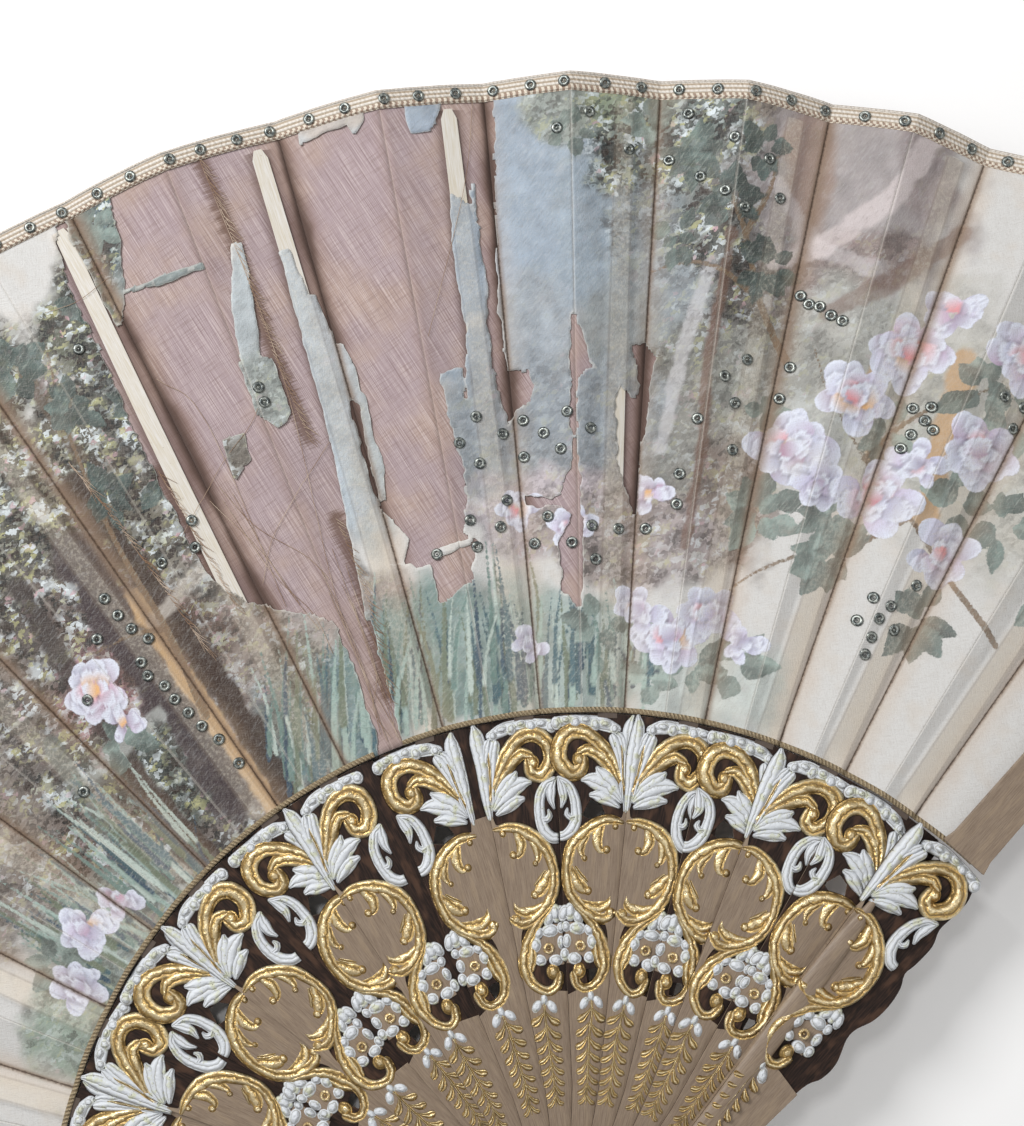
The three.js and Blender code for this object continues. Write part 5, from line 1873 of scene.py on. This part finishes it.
# Long loose hairs in plan.
HAIRS = [
    [(-127, 259), (-112, 246), (-88, 190)],
    [(-111, 222), (-95, 206), (-84, 191)],
    [(-96, 249), (-99, 243), (-107, 233), (-116, 217), (-119, 211)],
    [(-114, 326), (-89, 260), (-71, 186), (-54, 150)],
    [(-142, 290), (-150, 283), (-160, 279)],
    [(-107, 222), (-92, 200), (-80, 188), (-74, 176)],
    [(-75, 239), (-84, 224), (-92, 210), (-95, 197)],
    [(-108, 226), (-97, 214), (-82, 205), (-75, 198)],
    [(-31, 346), (-34, 316), (-45, 270)],
    [(-104, 224), (-90, 199), (-78, 183)],
    [(-74, 207), (-66, 184), (-60, 166), (-55, 151)],
    [(-77, 200), (-68, 180), (-63, 165), (-60, 152)],
    [(-71, 196), (-64, 180), (-61, 169), (-62, 159), (-57, 151)],
    [(-68, 191), (-62, 173), (-57, 159)],
    [(-75, 194), (-67, 176), (-62, 161), (-58, 150)],
    [(-70, 202), (-66, 190), (-59, 172), (-56, 155)],
]


def add_thread(meshes, stations):
    """Lay one short thread on the facet it crosses."""
    x, y = np.mean(stations, axis=0)[:2]
    facet = facet_at(x, y)
    mesh = meshes.setdefault(facet.node, (facet, new_mesh()))[1]
    strip(mesh, stations, 0, 0.18, step=2.5, sides=2, tips=(False, False))


class FAN_OT_threads(Operator):
    """Lay the frayed threads across the worn folds"""
    bl_idname = "fan.threads"
    bl_label = "Threads"

    def execute(self, context):
        rng = np.random.default_rng(5)
        meshes = {}
        for points, length in COMBS:
            for x, y in smooth_path(points, 1.3):
                tilt = radians(rng.normal(-42, 7))
                reach = length * rng.uniform(0.6, 1.2)
                bend = rng.normal(0, 0.5)
                dx, dy = reach * cos(tilt), reach * sin(tilt)
                add_thread(meshes, [(x, y, 0.1), (x + dx * 0.5, y + dy * 0.5 + bend, 0.08),
                                    (x + dx, y + dy, 0.05)])
        for points in HAIRS:
            path = smooth_path(points, 4)
            for a in range(0, len(path) - 1, 4):
                add_thread(meshes, [(x, y, 0.08) for x, y in path[a:a + 5]])
        for facet, mesh in meshes.values():
            lay_on_cloth(mesh, facet, 0.25)
            lay_uv(mesh)
            piece = new_piece(f"threads_{facet.node}", mesh, [thread_finish])
            facet.attach(piece)
        return {"FINISHED"}


class FAN_OT_rivet(Operator):
    """Give the rivet and its washer their finish"""
    bl_idname = "fan.rivet"
    bl_label = "Rivet"

    def execute(self, context):
        for name in ("rivet", "rivet_washer"):
            node = frame["nodes"][name]
            node.data.materials.clear()
            node.data.materials.append(brass_finish())
        return {"FINISHED"}


# Soft lamps: place, the point it faces, side of its square, and share of the power.
LAMPS = [("main", (-0.62, 0.62, 0.62), (-0.02, 0.2, 0), 0.34, 1),
         ("side", (0.75, -0.1, 0.7), (0, 0.15, 0), 0.8, 0.24),
         ("window", (-0.22, 0.48, 0.9), (-0.02, 0.16, 0), 0.13, 0.2)]
# The floor's half size and its gap under the fan, in metres.
FLOOR_HALF = 6
FLOOR_GAP = 0.0002
# Camera in millimetres over the rivet's plane, looking down on the fan.
CAMERA_PLACE = (-27.5, 172.0, 458.6)
CAMERA_TURN = (3.9, -0.83, -0.61)
FOCAL_PIXELS = 1500
IMAGE_WIDTH = 1024
SENSOR = 36.0


def add_lamp(name, place, aim, size, power):
    lamp = bpy.data.lights.new(name, "AREA")
    lamp.size = size
    lamp.energy = power
    holder = bpy.data.objects.new(name, lamp)
    holder.location = place
    holder.rotation_euler = (Vector(aim) - Vector(place)).to_track_quat("-Z", "Y").to_euler()
    bpy.context.scene.collection.objects.link(holder)


def add_floor(stage):
    f = Finish("floor", base_color=stage.floor, roughness=0.9, specular_ior_level=0.1)
    mesh = bmesh.new()
    bmesh.ops.create_grid(mesh, x_segments=1, y_segments=1, size=FLOOR_HALF)
    data = to_data("floor", mesh)
    data.materials.append(f.material)
    new_object("floor", data, Matrix.Translation((0, 0, -FLOOR_GAP)))


def add_camera(scene):
    camera = bpy.data.cameras.new("camera")
    camera.sensor_fit = "HORIZONTAL"
    camera.sensor_width = SENSOR
    camera.lens = FOCAL_PIXELS * SENSOR / IMAGE_WIDTH
    camera.clip_start = 0.01
    holder = bpy.data.objects.new("camera", camera)
    tilt, roll, turn = (radians(angle) for angle in CAMERA_TURN)
    aim = Matrix.Rotation(turn, 4, "Z") @ Matrix.Rotation(roll, 4, "Y") @ Matrix.Rotation(tilt, 4, "X")
    holder.matrix_world = Matrix.Translation(Vector(CAMERA_PLACE) * MM) @ aim
    scene.collection.objects.link(holder)
    scene.camera = holder


class FAN_OT_stage(Operator):
    """Set the floor, the light and the camera"""
    bl_idname = "fan.stage"
    bl_label = "Stage"

    def execute(self, context):
        scene = context.scene
        stage = scene.fan_stage
        scene.view_settings.view_transform = "Standard"
        world = bpy.data.worlds.new("even light")
        world.use_nodes = True
        background = world.node_tree.nodes["Background"]
        background.inputs["Color"].default_value = (1.0, 0.99, 0.975, 1)
        background.inputs["Strength"].default_value = stage.fill
        scene.world = world
        for name, place, aim, size, share in LAMPS:
            add_lamp(name, place, aim, size, stage.lamp_power * share)
        add_floor(stage)
        add_camera(scene)
        return {"FINISHED"}


OPERATORS = [FAN_OT_stage, FAN_OT_sticks, FAN_OT_guards, FAN_OT_carving, FAN_OT_backing, FAN_OT_painted_leaf,
             FAN_OT_trimming, FAN_OT_spangles, FAN_OT_threads, FAN_OT_rivet]


class FAN_PT_panel(Panel):
    """Lists the steps that dress the fan"""
    bl_idname = "FAN_PT_panel"
    bl_label = "Painted folding fan"
    bl_space_type = "VIEW_3D"
    bl_region_type = "UI"
    bl_category = "Fan"

    def draw(self, context):
        for group in (context.scene.fan_sizes, context.scene.fan_colours, context.scene.fan_stage):
            box = self.layout.box()
            for name in group.__annotations__:
                box.prop(group, name)
        for operator in OPERATORS:
            self.layout.operator(operator.bl_idname)


GROUPS = {"fan_sizes": FanSizes, "fan_colours": FanColours, "fan_stage": FanStage}


def register():
    for name, group in GROUPS.items():
        bpy.utils.register_class(group)
        setattr(bpy.types.Scene, name, PointerProperty(type=group))
    for item in (*OPERATORS, FAN_PT_panel):
        bpy.utils.register_class(item)


def unregister():
    for item in (FAN_PT_panel, *reversed(OPERATORS)):
        bpy.utils.unregister_class(item)
    for name, group in GROUPS.items():
        delattr(bpy.types.Scene, name)
        bpy.utils.unregister_class(group)


def main():
    register()
    for operator in OPERATORS:
        group, name = operator.bl_idname.split(".")
        getattr(getattr(bpy.ops, group), name)()


if __name__ == "__main__":
    main()
